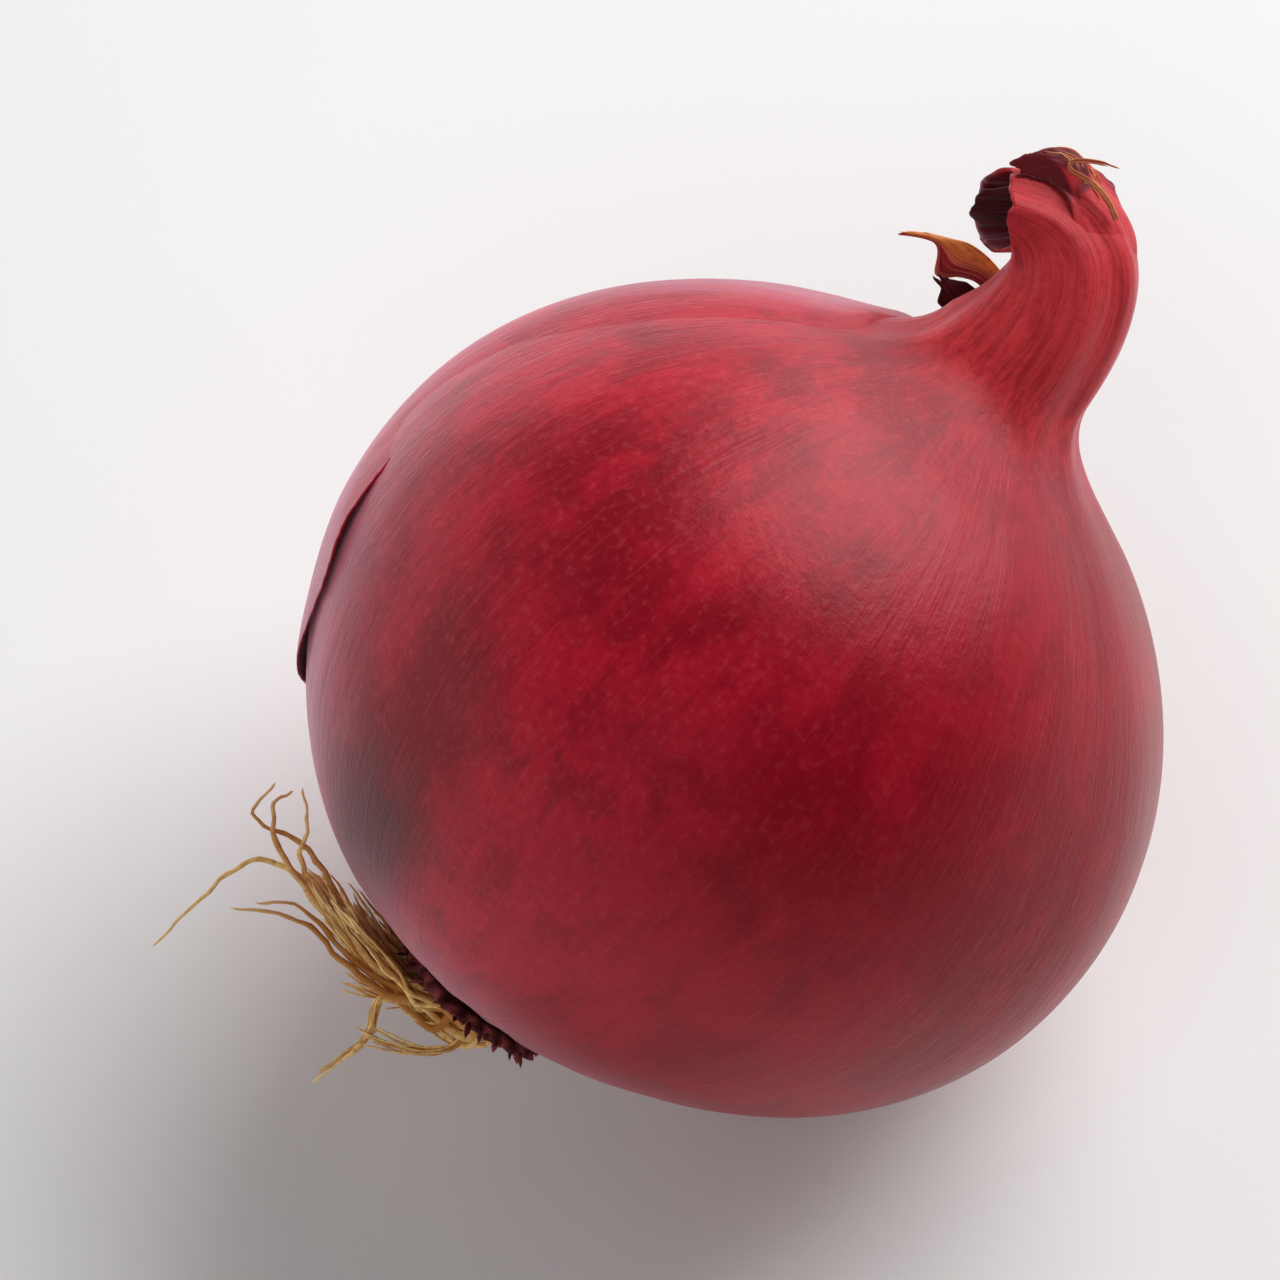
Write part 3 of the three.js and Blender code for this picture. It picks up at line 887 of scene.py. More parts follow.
@dataclass
class Piece:
    """A piece of the onion that stands for one node of the solids."""

    form: SkinForm
    lying: Lying
    name: str = ""
    node: str = ""
    slot: Slot = Slot.BULB_SKIN
    finish: Finish = BULB_SKIN

    def shape(self) -> Weave:
        """Returns the piece's mesh in the onion's frame."""
        raise NotImplementedError

    def build(self) -> bpy.types.Object:
        """Makes the piece's object, lays it down and dresses it."""
        weave = self.shape()
        bmesh.ops.transform(weave.mesh, matrix=self.lying.matrix(self.form), verts=weave.mesh.verts[:])
        self.settle(weave)
        mesh = bpy.data.meshes.new(self.name)
        weave.mesh.to_mesh(mesh)
        weave.mesh.free()
        mesh.shade_smooth()
        mesh.materials.append(self.finish.make())
        piece = add_object(self.name, mesh)
        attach(piece, "root")
        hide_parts(self.node)
        LOG.info("%s: %d faces", self.name, len(mesh.polygons))
        return piece

    def settle(self, weave: Weave) -> None:
        """Does what a piece needs once it lies in the part's frame."""


@dataclass
class Globe(Piece):
    """The globe and its neck, with the seat of the basal plate and the mouth."""

    name: str = "globe_and_neck"
    node: str = "bulb"
    columns: int = 300
    rows: int = 300
    seat_radius: float = 5.35
    wall: float = 0.9
    lip_wall: float = 0.3
    mouth_floor: float = 0.4
    seat_end: float = 0.02
    globe_end: float = 0.5
    flare_end: float = 0.66
    neck_end: float = 0.88
    lining_share: float = 0.85

    def station_at(self, along: float, angle: float) -> float:
        """Returns the station of a share along the outside."""
        if along <= self.globe_end:
            return (along - self.seat_end) / (self.globe_end - self.seat_end)
        if along <= self.flare_end:
            return 1 + (along - self.globe_end) / (self.flare_end - self.globe_end)
        share = (along - self.flare_end) / (self.neck_end - self.flare_end)
        return lerp(2, self.form.lip(angle), min(share, 1.0))

    def surface(self, across: float, along: float) -> Vector:
        """Returns a point of the skin, from the seat over the lip to the mouth's floor."""
        angle = TAU * across
        root = self.form.section(0)
        if along < self.seat_end:
            share = along / self.seat_end
            radius = lerp(0, self.seat_radius, min(share * 1.5, 1))
            rise = lerp(1.3, 0.1, max(share * 3 - 2, 0))
            return root.rim(radius, angle, rise)
        if along <= self.neck_end:
            return self.form.point(self.station_at(along, angle), angle)
        share = (along - self.neck_end) / (1 - self.neck_end)
        floor = 2 + self.mouth_floor
        station = lerp(self.form.lip(angle), floor, min(share / self.lining_share, 1))
        wall = lerp(self.lip_wall, self.wall, ease(share, 0, 0.5))
        point = self.form.off(station, angle, -wall)
        middle = self.form.section(floor)
        closing = max((share - self.lining_share) / 0.15, 0)
        return point.lerp(Vector((middle.side, 0, middle.height)), closing)

    def painted_shade(self, station: float, degrees: float) -> float:
        """Returns how much of the painted shade beside the roots a point has, a dark patch on the globe."""
        patchy = 9 * math.sin(9 * station + 1)
        round_it = ease(degrees + patchy, 16, 48) * (1 - ease(degrees + patchy, 50, 82))
        return 0.85 * round_it * ease(station, 0.01, 0.13) * (1 - ease(station, 0.23, 0.55))

    def mark(self, weave: Weave, vert: Vertex, across: float, along: float) -> None:
        """Writes where a point is on the skin, and which tones it has."""
        angle = TAU * across
        station = self.station_at(min(max(along, self.seat_end), self.neck_end), angle)
        # The third tone: painted shade on the lining inside the mouth and on the back wall's edge at the
        # lip, and a darker band round the plate's seat.
        inside = ease(along, self.neck_end, self.neck_end + 0.01)
        behind = ease(self.form.behind(angle), -0.2, 0.5)
        rim = behind * ease(along, self.neck_end - 0.022, self.neck_end - 0.006)
        root = max(bump_at(station, 0, 0.09), inside, rim)
        degrees = math.degrees(angle)
        tone = (self.painted_shade(station, degrees), self.form.dryness(station), root)
        # Painted shade: one side of the globe is darkened to a deeper red.
        shade = ease(degrees, 70, 125) * (1 - ease(degrees, 215, 260)) * self.form.on_globe(station)
        leaf = (self.pale_and_painted_sheen(station, degrees), shade, 0)
        weave.mark_skin(vert, self.form.way(station), angle, tone, leaf)

    def pale_and_painted_sheen(self, station: float, degrees: float) -> float:
        """Returns how mauve and dull the skin is, on the roots' side and beside the plate; on the roots'
        side this mauve is partly a painted sheen along the globe's edge.
        """
        side = 1 - ease(abs((degrees + 188) % 360 - 180), 22, 62)
        return max(0.78 * side * (1 - ease(station, 0.33, 0.66)), 0.66 * (1 - ease(station, 0.03, 0.26)))

    def shape(self) -> Weave:
        """Returns the mesh of the globe and neck."""
        weave = Weave()
        weave.grid(self.surface, self.columns, self.rows, lambda v, a, b: self.mark(weave, v, a, b))
        weave.weld()
        return weave

    def settle(self, weave: Weave) -> None:
        """Flattens the side that the onion rests on."""
        for vert in weave.mesh.verts:
            vert.co.z = max(vert.co.z, 0.0)


@dataclass
class Sheet(Piece):
    """A thin dry piece of leaf or skin."""

    columns: int = 40
    rows: int = 40
    thickness: float = 0.16
    chance: float = 0.3

    def surface(self, across: float, along: float) -> Vector:
        """Returns the sheet's point at a share across and along."""
        raise NotImplementedError

    def mark(self, weave: Weave, vert: Vertex, across: float, along: float) -> None:
        """Writes where a point is on the leaf."""
        vert[weave.layers["leaf"]] = Vector((across, along, self.chance))

    def shape(self) -> Weave:
        """Returns the sheet's mesh."""
        weave = Weave()
        weave.grid(self.surface, self.columns, self.rows, lambda v, a, b: self.mark(weave, v, a, b))
        weave.thicken(self.thickness)
        return weave


@dataclass
class OuterSkin(Sheet):
    """The loose outermost skin, torn off along an edge up the globe's side."""

    name: str = "loose_skin"
    node: str = "outer_skin"
    slot: Slot = Slot.PALE_SKIN
    finish: Finish = PALE_SKIN
    columns: int = 150
    rows: int = 230
    hidden_tear: float = -64.0
    tear_lift: float = 0.6
    tear: tuple[tuple[float, float], ...] = (
        (0.14, 0),
        (0.2, -3),
        (0.25, -1),
        (0.29, 9),
        (0.33, 15),
        (0.38, 19),
        (0.44, 22),
        (0.5, 19.5),
        (0.57, 17.5),
        (0.64, 18),
        (0.72, 20),
        (0.82, 25),
        (1.0, 28),
        (1.25, 26),
        (1.45, 8),
        (1.62, -12),
    )

    def place(self, across: float, along: float) -> tuple[float, float, float]:
        """Returns the station, angle and height over the skin of a point."""
        edge = spline(along, [Vector(point) for point in self.tear])
        ragged = 4 * math.sin(9 * along) + 2 * math.sin(23 * along + 1)
        narrowing = 1 - 0.53 * ease(along, 0.6, 1)
        nick = noise.noise(Vector((along * 60, 3, 0))) * 0.9 + noise.noise(Vector((along * 170, 5, 0))) * 0.4
        near = edge.y + nick * ease(across, 0.9, 1)
        angle = lerp((self.hidden_tear + ragged) * narrowing, near, across)
        opening = self.opening(along)
        lift = self.tear_lift * opening * ease(across, 0.72, 1) * (0.75 + 0.3 * math.sin(31 * along))
        snug = lerp(0.06, 0.35, ease(1 - across, 0, 0.3))
        sunk = 0.45 * (1 - opening) * ease(across, 0.72, 1) + 0.7 * ease(along, 0.9, 1)
        return edge.x, math.radians(angle), snug + lift - sunk

    def opening(self, along: float) -> float:
        """Returns how far the crack at the torn edge gapes, from 0 to 1."""
        return ease(along, 0.1, 0.22) * (1 - ease(along, 0.42, 0.58))

    def surface(self, across: float, along: float) -> Vector:
        """Returns a point of the loose skin."""
        station, angle, lift = self.place(across, along)
        return self.form.off(station, angle, lift)

    def mark(self, weave: Weave, vert: Vertex, across: float, along: float) -> None:
        """Writes where a point is on the skin below it."""
        station, angle, _ = self.place(across, along)
        opening = self.opening(along)
        inward = ease(1 - across, lerp(0.14, 0, opening), lerp(0.5, 0.02, opening))
        pale = 0.9 * inward * self.form.on_globe(station)
        tone = (0, self.form.dryness(station), 0)
        weave.mark_skin(vert, self.form.way(station), angle, tone, (pale, 0, 0))


@dataclass
class InnerSheath(Sheet):
    """The dark inner leaf that lines the back of the mouth."""

    name: str = "mouth_sheath"
    node: str = "inner_sheath"
    slot: Slot = Slot.DARK_HUSK
    finish: Finish = DARK_LEAF
    columns: int = 90
    rows: int = 50
    inset: float = 1.55

    def surface(self, across: float, along: float) -> Vector:
        """Returns a point of the sheath."""
        angle = math.radians(lerp(196, 326, across))
        torn = 0.8 * math.sqrt(max(math.sin(math.pi * across), 0)) - 0.5
        torn += 0.06 * math.sin(9 * across + 1) + 0.03 * math.sin(21 * across) - 0.1
        end = self.form.lip(angle) + torn / self.form.neck_reach
        inset = self.inset - 0.09 * math.sin(26 * across + 2 * along)
        return self.form.sleeve(lerp(2.58, end, along), angle, -inset)


@dataclass
class NeckFlap(Sheet):
    """The flap of the neck's outer leaf that folds over the top of the mouth."""

    name: str = "neck_flap"
    node: str = "neck_flap"
    slot: Slot = Slot.DARK_HUSK
    finish: Finish = FLAP_SKIN
    columns: int = 90
    rows: int = 110
    foot: float = 0.3
    curl: float = 2.2

    def place(self, across: float, reach: float) -> tuple[float, float]:
        """Returns the station and the angle of a point of the flap."""
        crease = lerp(118, 158, ease(reach, 0.1, 0.9))
        angle = math.radians(lerp(crease, 225, across * (0.4 + 0.6 * across)))
        notched = 0.12 * ease(across, 0.5, 0.8) + 0.015 * math.sin(19 * across)
        notched += 0.006 * math.sin(47 * across)
        return lerp(lerp(2.64, 2.4, across), 2.99 - notched, reach), angle

    def surface(self, across: float, along: float) -> Vector:
        """Returns a point of the flap, which grows out of the neck at its foot."""
        reach = lerp(-self.foot, 1, along)
        station, angle = self.place(across, reach)
        standing = ease(across, 0, 0.34) * (1 - 0.6 * ease(across, 0.4, 1))
        rising = 0.4 * ease(reach, 0.1, 0.75) + 0.7 * bump_at(reach, 0.82, 0.14)
        curl = self.curl * standing * (rising - 0.3 * ease(reach, 0.88, 1))
        full = lerp(0.8, 0.5, ease(across, 0.3, 0.9))
        snug = lerp(-0.45, 0.3, ease(reach, -0.1, full))
        snug -= 0.4 * (1 - ease(across, 0, 0.2)) * (1 - ease(reach, 0.25, 0.6))
        wrinkle = 0.09 * math.sin(22 * across + 3 * reach) * ease(reach, 0.2, 0.6)
        tatter = noise.noise(Vector((across * 9, reach * 12, 4)))
        tatter += 0.5 * noise.noise(Vector((across * 25, reach * 31, 7)))
        tatter *= 0.42 * ease(reach, 0.6, 0.9)
        leaf = self.form.sleeve(station, angle, 0.3 + curl + wrinkle + tatter)
        skin = self.form.off(station, angle, snug)
        return skin.lerp(leaf, ease(reach, 0.15, full))

    def mark(self, weave: Weave, vert: Vertex, across: float, along: float) -> None:
        """Writes where a point is on the skin, how dark it is towards the torn end, and a painted shade
        along the crease at its near edge.
        """
        reach = lerp(-self.foot, 1, along)
        station, angle = self.place(across, reach)
        patchy = 0.2 * noise.noise(Vector((across * 7, reach * 9, 2)))
        dark = ease(reach + 0.08 * math.sin(9 * across) + patchy, 0.58, 0.8)
        # Painted shade along the crease, where the flap's near edge meets the neck.
        dark = max(dark, (1 - ease(across, 0, 0.05)) * ease(reach, 0.3, 0.6))
        weave.mark_skin(vert, self.form.way(station), angle, (0, 1, dark), (0, 0, 0))


@dataclass
class PeeledStrip(Sheet):
    """A torn strip of the neck's outer leaf that stands out past the neck."""

    name: str = "torn_strip"
    node: str = "torn_strip"
    slot: Slot = Slot.ORANGE_HUSK
    finish: Finish = ORANGE_LEAF
    columns: int = 60
    rows: int = 90
    low: float = 2.14
    high: float = 2.42
    tip: float = 2.3
    lay_from: float = -105.0
    lay_to: float = -42.0
    lay_share: float = 0.5
    lift: float = 0.6
    out: float = 7.9
    up: float = 1.2
    rise: float = 3.2
    fall: float = -4.1
    flare: float = 0.24

    def surface(self, across: float, along: float) -> Vector:
        """Returns a point of the strip."""
        angle = math.radians(lerp(self.lay_from, self.lay_to, min(along / self.lay_share, 1)))
        past = max((along - self.lay_share) / (1 - self.lay_share), 0)
        split = 0.1 * math.sin(11 * across + 0.6) + 0.06 * math.sin(29 * across) - 0.05
        past *= 1 + split * ease(along, 0.5, 1)
        narrowing = 0.2 * past + 0.6 * ease(past, 0.45, 0.8)
        flare = self.flare * (1 - across) * bump_at(past, 0.45, 0.2)
        station = lerp(lerp(self.low, self.high, across), self.tip, narrowing) - flare
        point = self.form.sleeve(station, angle, 0.6 + self.lift * past)
        wave = 0.7 * math.sin(7 * across + 4 * along) * past * (1 - past)
        wave += 0.1 * math.sin(31 * across) * past * (1 - narrowing)
        rise = self.rise * past + self.fall * past * past
        return point + Vector((self.out * past, self.up * past + wave, rise))


DARK_STRIP = dict(
    name="dark_strip",
    node="dark_strip",
    slot=Slot.DARK_HUSK,
    finish=DARK_LEAF,
    columns=40,
    rows=60,
    low=1.78,
    high=2.12,
    tip=1.96,
    lay_from=-88,
    lay_to=-40,
    lay_share=0.6,
    lift=0.4,
    out=3.2,
    up=2.4,
    rise=0.3,
    fall=0.3,
    flare=0.0,
)


@dataclass
class NeckFibre(Piece):
    """The thin fibre that springs up from the top of the neck and bends back."""

    name: str = "neck_fibre"
    node: str = "neck_fibre"
    slot: Slot = Slot.ORANGE_HUSK
    finish: Finish = FIBRE
    strands: int = 4
    strand_steps: int = 24
    strand_radius: float = 0.16
    lying_strands: int = 14
    lying_steps: int = 12
    lying_radius: float = 0.07
    path: tuple[Colour, ...] = (
        (1.4, 2.4, 53.1),
        (3, 2.7, 54),
        (4.8, 3, 54.4),
        (7, 3, 54.1),
        (7.2, 2.9, 54.8),
        (5.6, 2.8, 56),
        (3.8, 2.6, 56.7),
    )

    def shape(self) -> Weave:
        """Returns the fibre as thin strands side by side, with more of them on the flap."""
        weave = Weave()
        dice = Dice(3)
        points = [Vector(point) for point in self.path]
        steps = self.strand_steps
        for strand in range(self.strands):
            end = 1.0 if strand == 0 else dice.between(0.6, 1.0)
            shift = Vector([dice.between(-0.18, 0.18) for _ in range(3)])
            path = [spline(end * k / steps, points) + shift for k in range(steps + 1)]
            radii = [self.strand_radius * (1 - 0.5 * k / steps) for k in range(steps + 1)]
            weave.strand(path, radii, 6, dice.roll())
        flap = NeckFlap(form=self.form, lying=self.lying)
        start, length = flap.foot / (1 + flap.foot), 1 / (1 + flap.foot)
        for _ in range(self.lying_strands):
            across, drift = dice.between(0.3, 0.62), dice.between(-0.08, 0.05)
            low, high = dice.between(0.35, 0.65), dice.between(0.8, 1.0)
            path = []
            for k in range(self.lying_steps + 1):
                reach = start + length * lerp(low, high, k / self.lying_steps)
                lift = self.form.normal(2.8, math.pi) * (0.2 + 0.1 * math.sin(k))
                path.append(flap.surface(across + drift * k / self.lying_steps, reach) + lift)
            weave.strand(path, [self.lying_radius] * len(path), 5, dice.roll())
        return weave


@dataclass
class BasalPlate(Piece):
    """The corky plate with its ragged rim of old root stubs."""

    name: str = "root_plate"
    node: str = "basal_plate"
    slot: Slot = Slot.CORK
    finish: Finish = CORK
    crown_radius: float = 4.3
    foot_radius: float = 4.9
    gap: float = 0.45
    teeth: int = 11
    columns: int = 176
    rows: int = 48
    stubs: int = 96

    def ragged(self, angle: float) -> float:
        """Returns how far the rim's old stubs stand out."""
        coarse = 0.35 * abs(math.sin(self.teeth * angle)) + 0.35 * math.sin(5 * angle + 1)
        return coarse + 0.12 * math.sin(67 * angle) + 0.1 * math.sin(39 * angle + 1)

    def surface(self, across: float, along: float) -> Vector:
        """Returns a point of the plate, from the crown's hollow over the rim to the foot."""
        plate = self.form.plate_radius
        profile = (
            (0, -1.1, 0),
            (2.2, -1.1, 0),
            (self.crown_radius - 0.4, -1.25, 0),
            (self.crown_radius + self.gap, -2, 0),
            (5.7, -2.1, 0.3),
            (plate - 0.7, -1.75, 1),
            (plate - 0.5, -1.35, 1),
            (plate - 0.9, -self.gap - 0.35, 0.3),
            (self.foot_radius, -self.gap - 0.3, 0),
            (self.foot_radius - 0.1, 0.8, 0),
            (0, 0.8, 0),
        )
        angle = TAU * across
        root = self.form.section(0)
        radius, rise, share = spline(along, [Vector(row) for row in profile])
        radius = max(radius + share * self.ragged(angle), 0)
        radius += 0.12 * math.sin(53 * angle) * share
        rough = 0.22 * noise.noise(Vector((radius * math.cos(angle), radius * math.sin(angle), rise)) * 1.7)
        rise += rough * ease(radius, 0.5, 3) * (1 if along < 0.72 else 0)
        return root.rim(radius, angle, rise)

    def shape(self) -> Weave:
        """Returns the plate with a fringe of stubs round its rim."""
        weave = Weave()
        leaf = weave.layers["leaf"]

        def mark(vert: Vertex, across: float, along: float) -> None:
            """Writes a chance that changes round the plate."""
            vert[leaf] = Vector((0.5 + 0.4 * math.sin(23 * TAU * across), 0.2, 0.5))

        weave.grid(self.surface, self.columns, self.rows, mark)
        weave.weld()
        root = self.form.section(0)
        dice = Dice(11)
        for stub in range(self.stubs):
            angle = TAU * (stub + dice.between(-0.4, 0.4)) / self.stubs
            out = Vector((math.cos(angle), math.sin(angle), 0))
            start = dice.between(4.9, 7.4)
            foot = Vector((root.side, 0, root.height - dice.between(1.4, 1.9))) + out * start
            reach = dice.between(0.5, 1.4)
            aside = (dice.between(-0.3, 0.3), dice.between(-0.3, 0.3))
            lean = out * (reach * 0.7) + Vector((*aside, -reach * 0.55))
            path = [foot + lean * share for share in (-0.5, 0, 0.5, 1)]
            thick = dice.between(0.16, 0.34)
            weave.strand(path, [thick, thick, 0.8 * thick, 0.45 * thick], 6, dice.roll())
        return weave


@dataclass
class Roots(Piece):
    """The bunch of dry roots: the main ones, and the hairs between them."""

    name: str = "dry_roots"
    node: str = "roots"
    slot: Slot = Slot.STRAW
    finish: Finish = STRAW
    crown_radius: float = 4.3
    crown_drop: float = 2.6
    step: float = 0.7
    count: int = 18
    radius: float = 0.5
    tip_radius: float = 0.1
    seed: int = 7
    hairs: int = 260
    close_hairs: int = 90
    strays: tuple[tuple[Colour, ...], ...] = (
        (
            *((1, 1, 0), (7, 2.4, -1.7), (13.4, 2, -0.8), (18.4, 1.2, 0)),
            *((22.3, 1, -2.1), (23.4, 1, -8), (24, 0.6, -13.5)),
        ),
        ((1.6, -1, 0), (8.4, 0, -1.3), (15.3, 0.8, 0), (18.8, 1, 0.9), (20, 1, 3.4), (22.6, 0.6, 6)),
        ((1.8, 0.6, 0), (8.6, 1.8, -1.7), (15.9, 1.8, -0.6), (21, 1.4, 0.8), (23.6, 1, 3.4), (23, -0.2, 5)),
        ((2, 0.4, 0), (9.6, 0.8, -1.1), (17.2, 0.6, 1.7), (20.4, 0.8, 2.2), (24.3, 1, 1.5), (24.8, 1, 5)),
        ((1.4, 2, 0), (6.8, 3, -2), (12.4, 2.6, -2), (16.4, 2, -1.8), (19.4, 2, -4)),
        ((0.6, 2.4, 0), (5.8, 3.6, -2.4), (11.4, 3, -2.8), (15.4, 2.4, -2.6), (21, 2, -5.8)),
        ((-1, 1.6, 0), (-1.2, 2.6, -2.8), (2, 3, -5.4), (6.4, 2.6, -7)),
        ((0.8, 0, 0), (4.4, 1.6, -2.2), (6.2, 2.2, -4), (5, 2.4, -6.6), (5.3, 2.2, -9.8), (6.2, 2, -13.4)),
        ((0.4, -2, 0), (2.4, -2.6, -2.6), (5.8, -2.8, -4.8), (9.8, -2.2, -6)),
    )

    def bundle_root(self, index: int, dice: Dice) -> list[Vector]:
        """Returns the points of a root that leans to X and follows the globe."""
        turn = 2.4 * index
        start = 0.74 * self.crown_radius * math.sqrt((index + 0.5) / self.count)
        foot = Vector((start * math.cos(turn), start * math.sin(turn), 0))
        reach = dice.between(9, 19)
        fan = 0.25 * foot.y + dice.between(-1.2, 2.6)
        drop = dice.between(-1.8, -3.8)
        rise = 0.006 * reach * reach
        points = [foot, Vector((foot.x + 0.5, foot.y, 0.7 * drop))]
        for share in (0.4, 0.7, 1.0):
            side = lerp(foot.y, fan, share) + dice.between(-0.5, 0.5)
            height = drop * (1 - 0.5 * share) + rise * share * share + dice.between(-0.5, 0.5)
            points.append(Vector((lerp(foot.x, reach, share), side, height)))
        return points

    def lay(self, weave: Weave, points: Sequence[Vector], thick: float, dice: Dice, sides: int) -> None:
        """Lays one root with knots and small kinks along its points.

        Args:
            weave: The mesh that takes the root.
            points: The points that the root goes through.
            thick: The radius at its foot.
            dice: The row of random numbers.
            sides: How many sides it has.
        """
        root = self.form.section(0)
        origin = Vector((root.side, 0, root.height - self.crown_drop))
        length = sum((b - a).length for a, b in zip(points, points[1:]))
        steps = max(int(length / self.step), 8)
        seed = dice.between(0, 90)
        path, radii = [], []
        for k in range(steps + 1):
            share = k / steps
            kink = noise.noise_vector(Vector((share * length * 0.55, seed, 0))) * 0.28 * ease(share, 0, 0.3)
            knot = 1 + 0.3 * noise.noise(Vector((share * length * 1.1, seed + 9, 0)))
            path.append(spline(share, points) + kink + origin)
            radii.append(lerp(thick, self.tip_radius, share**1.5) * knot)
        weave.strand(path, radii, sides, dice.roll())

    def hair(self, mains: Sequence[Sequence[Vector]], dice: Dice) -> list[Vector]:
        """Returns the points of a thin hair that follows a main root and strays off."""
        strays = len(self.strays)
        main = mains[int(lerp(0.7 * strays, len(mains), dice.roll()))]
        begin, end = dice.between(0, 0.4), dice.between(0.6, 1.0)
        spread = dice.between(0.1, 0.9)
        aside = Vector([dice.between(-1, 1) for _ in range(3)]).normalized()
        return [
            spline(lerp(begin, end, k / 4), main) + aside * spread * (0.3 + (k / 4) ** 2) for k in range(5)
        ]

    def close_hair(self, dice: Dice) -> list[Vector]:
        """Returns the points of a hair that lies close over the plate's rim."""
        foot = Vector((dice.between(0.5, 3.5), dice.between(-3.5, 3.5), 0))
        reach, fan = dice.between(8, 15), foot.y * 1.1 + dice.between(-1, 1.8)
        drop = dice.between(-0.5, -1.6)
        points = [foot]
        for share in (0.25, 0.5, 0.75, 1.0):
            x = lerp(foot.x, reach, share)
            side = lerp(foot.y, fan, share) + dice.between(-0.3, 0.3)
            points.append(Vector((x, side, drop + 0.012 * x * x + dice.between(-0.3, 0.3))))
        return points

    def crown(self, weave: Weave) -> None:
        """Adds the low crown that the roots grow from."""
        root = self.form.section(0)
        part = Weave()
        profile = ((0, -1.1, 0), (2.4, -1, 0), (3.8, -0.4, 0), (4.1, 0.4, 0))
        profile += ((3.4, 0.9, 0), (1.6, 1, 0), (0, 1, 0))
        rows = [Vector(row) for row in profile]

        def surface(across: float, along: float) -> Vector:
            """Returns a point of the crown."""
            radius, rise, _ = spline(along, rows)
            angle = TAU * across
            x, y = radius * math.cos(angle), radius * math.sin(angle)
            rough = 0.15 * noise.noise(Vector((x, y, rise)) * 2)
            height = root.height - self.crown_drop + rise + rough * ease(radius, 0.3, 2)
            return Vector((root.side + x, y, height))

        def mark(vert: Vertex, across: float, along: float) -> None:
            """Writes a low chance, for the crown's darker colour."""
            vert[part.layers["leaf"]] = Vector((0.15, 0.1, 0.2))

        part.grid(surface, 64, 24, mark)
        part.weld()
        weave.join(part)

    def shape(self) -> Weave:
        """Returns the whole bunch."""
        noise.seed_set(self.seed)  # without a seed, noise_vector starts from the clock
        weave = Weave()
        self.crown(weave)
        dice, looks = Dice(self.seed), Dice(self.seed + 1)
        mains = [[Vector(point) for point in path] for path in self.strays]
        mains += [self.bundle_root(index, dice) for index in range(self.count)]
        for points in mains:
            self.lay(weave, points, self.radius * dice.between(0.5, 0.8), looks, 8)
        for _ in range(self.hairs):
            self.lay(weave, self.hair(mains, looks), looks.between(0.06, 0.15), looks, 5)
        for _ in range(self.close_hairs):
            self.lay(weave, self.close_hair(looks), looks.between(0.1, 0.26), looks, 5)
        return weave


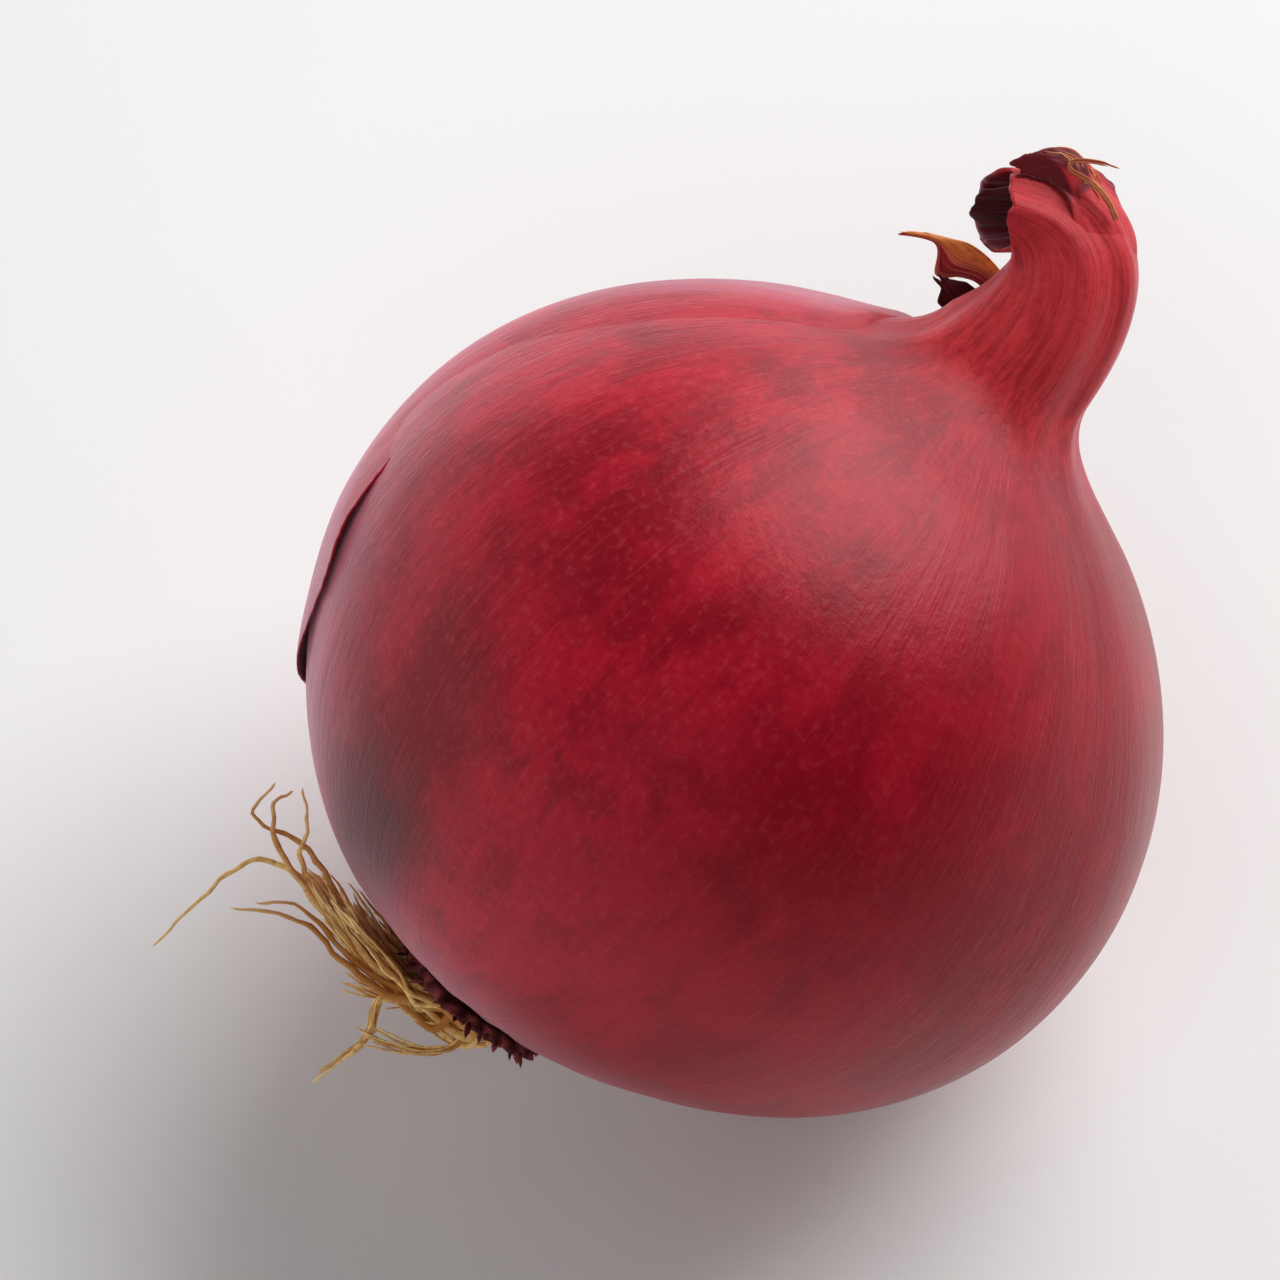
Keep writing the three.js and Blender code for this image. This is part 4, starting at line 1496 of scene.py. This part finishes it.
@dataclass(frozen=True)
class Studio:
    """The pale floor, the soft lights and the camera."""

    azimuth: float = -40.0
    elevation: float = 60.0
    lens: float = 350.0
    sensor: float = 36.0
    frame_width: float = 0.108
    target: tuple[float, float, float] = (-0.0029, 0.0, 0.0353)
    right_shift: float = -0.0084
    up_shift: float = 0.0051
    floor_colour: Colour = (0.92, 0.92, 0.92)
    horizon: float = 1.3
    zenith: float = 0.07
    near_share: float = 0.4

    def directions(self) -> tuple[Vector, Vector, Vector]:
        """Returns the camera's right, up and backward directions."""
        azimuth, elevation = math.radians(self.azimuth), math.radians(self.elevation)
        back = Vector(
            (
                math.sin(azimuth) * math.cos(elevation),
                -math.cos(azimuth) * math.cos(elevation),
                math.sin(elevation),
            )
        )
        right = Vector((math.cos(azimuth), math.sin(azimuth), 0))
        return right, back.cross(right), back

    def place_camera(self) -> None:
        """Makes the camera at the photograph's viewing angle."""
        right, up, back = self.directions()
        data = bpy.data.cameras.new("camera")
        data.lens = self.lens
        data.sensor_width = self.sensor
        distance = self.frame_width * self.lens / self.sensor
        centre = Vector(self.target) + right * self.right_shift + up * self.up_shift
        data.clip_start, data.clip_end = 0.01, 20
        camera = add_object("camera", data)
        camera.matrix_world = Matrix.Translation(centre + back * distance) @ (
            Matrix((right, up, back)).transposed().to_4x4()
        )
        bpy.context.scene.camera = camera

    def lay_floor(self) -> None:
        """Makes the plain pale floor."""
        grid = bmesh.new()
        bmesh.ops.create_grid(grid, x_segments=4, y_segments=4, size=3)
        mesh = bpy.data.meshes.new("floor")
        grid.to_mesh(mesh)
        grid.free()
        desk = NodeDesk.for_finish("floor")
        clouds = desk.noise(desk.objects, 3, 2)
        pale = tuple(0.97 * value for value in self.floor_colour)
        colour = desk.mix(clouds, self.floor_colour, pale)
        roughness = desk.range(clouds, 0, 1, 0.7, 0.8)
        normal = desk.bump(clouds, 0.00001)
        mesh.materials.append(desk.finish(colour, roughness, normal, specular_ior_level=0.2))
        add_object("floor", mesh)

    def hang_light(
        self, name: str, towards: Vector, distance: float, size: float, watts: float
    ) -> bpy.types.Object:
        """Hangs a soft square light that faces the onion.

        Args:
            name: The light's name.
            towards: The direction from the onion to the light.
            distance: How far away it hangs, in metres.
            size: The length of its sides, in metres.
            watts: Its power.

        Returns:
            The light.
        """
        data = bpy.data.lights.new(name, "AREA")
        data.shape = "SQUARE"
        data.size = size
        data.energy = watts
        light = add_object(name, data)
        light.location = Vector(self.target) + towards.normalized() * distance
        light.rotation_mode = "QUATERNION"
        light.rotation_quaternion = (-towards).to_track_quat("-Z", "Y")
        return light

    def light_up(self) -> None:
        """Sets the soft surroundings and hangs the lights."""
        world = bpy.data.worlds.new("studio")
        desk = NodeDesk(world, "Background")
        desk.put(desk.shader.inputs["Color"], (1.0, 0.99, 0.98))
        _, depth, height = desk.parts(desk.coordinates["Generated"])
        upward = {"From Min": 0, "From Max": 0.5, "To Min": self.horizon, "To Max": self.zenith}
        backward = {"From Min": -0.5, "From Max": 0.6, "To Min": self.near_share, "To Max": 1}
        fades = [
            desk.node("MapRange", {"Value": value, **ends}).outputs["Result"]
            for value, ends in ((height, upward), (depth, backward))
        ]
        desk.put(desk.shader.inputs["Strength"], desk.product(*fades))
        bpy.context.scene.world = world
        self.hang_light("key", Vector((0.75, 0.13, 0.63)), 0.9, 0.85, 9.6)
        for name, towards, watts in (
            ("fill", Vector((-0.7, -0.35, 0.75)), 1.4),
            ("back", Vector((-0.4, 0.85, 0.5)), 0.9),
        ):
            self.hang_light(name, towards, 0.9, 0.6, watts).visible_glossy = False
        bpy.context.scene.view_settings.view_transform = "Standard"
        bpy.context.scene.view_settings.exposure = 0.15

    def build(self) -> None:
        """Sets up the floor, the camera and the lights."""
        self.lay_floor()
        self.place_camera()
        self.light_up()


@dataclass
class RedOnion:
    """The whole onion, from the globe to the roots."""

    form: SkinForm = field(default_factory=SkinForm)
    lying: Lying = field(default_factory=Lying)

    def build(self) -> list[bpy.types.Object]:
        """Builds every piece and returns their objects."""
        shared = {"form": self.form, "lying": self.lying}
        pieces = [
            Globe(**shared),
            OuterSkin(**shared),
            InnerSheath(**shared),
            NeckFlap(**shared),
            PeeledStrip(**shared),
            PeeledStrip(**shared, **DARK_STRIP),
            NeckFibre(**shared),
            BasalPlate(**shared),
            Roots(**shared),
        ]
        return [piece.build() for piece in pieces]


def main() -> None:
    """Loads the frame, builds the onion on it and sets up the studio."""
    logging.basicConfig(level=logging.INFO, format="%(name)s %(message)s")
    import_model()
    RedOnion().build()
    Studio().build()
    bpy.context.view_layer.update()


if __name__ == "__main__":
    main()
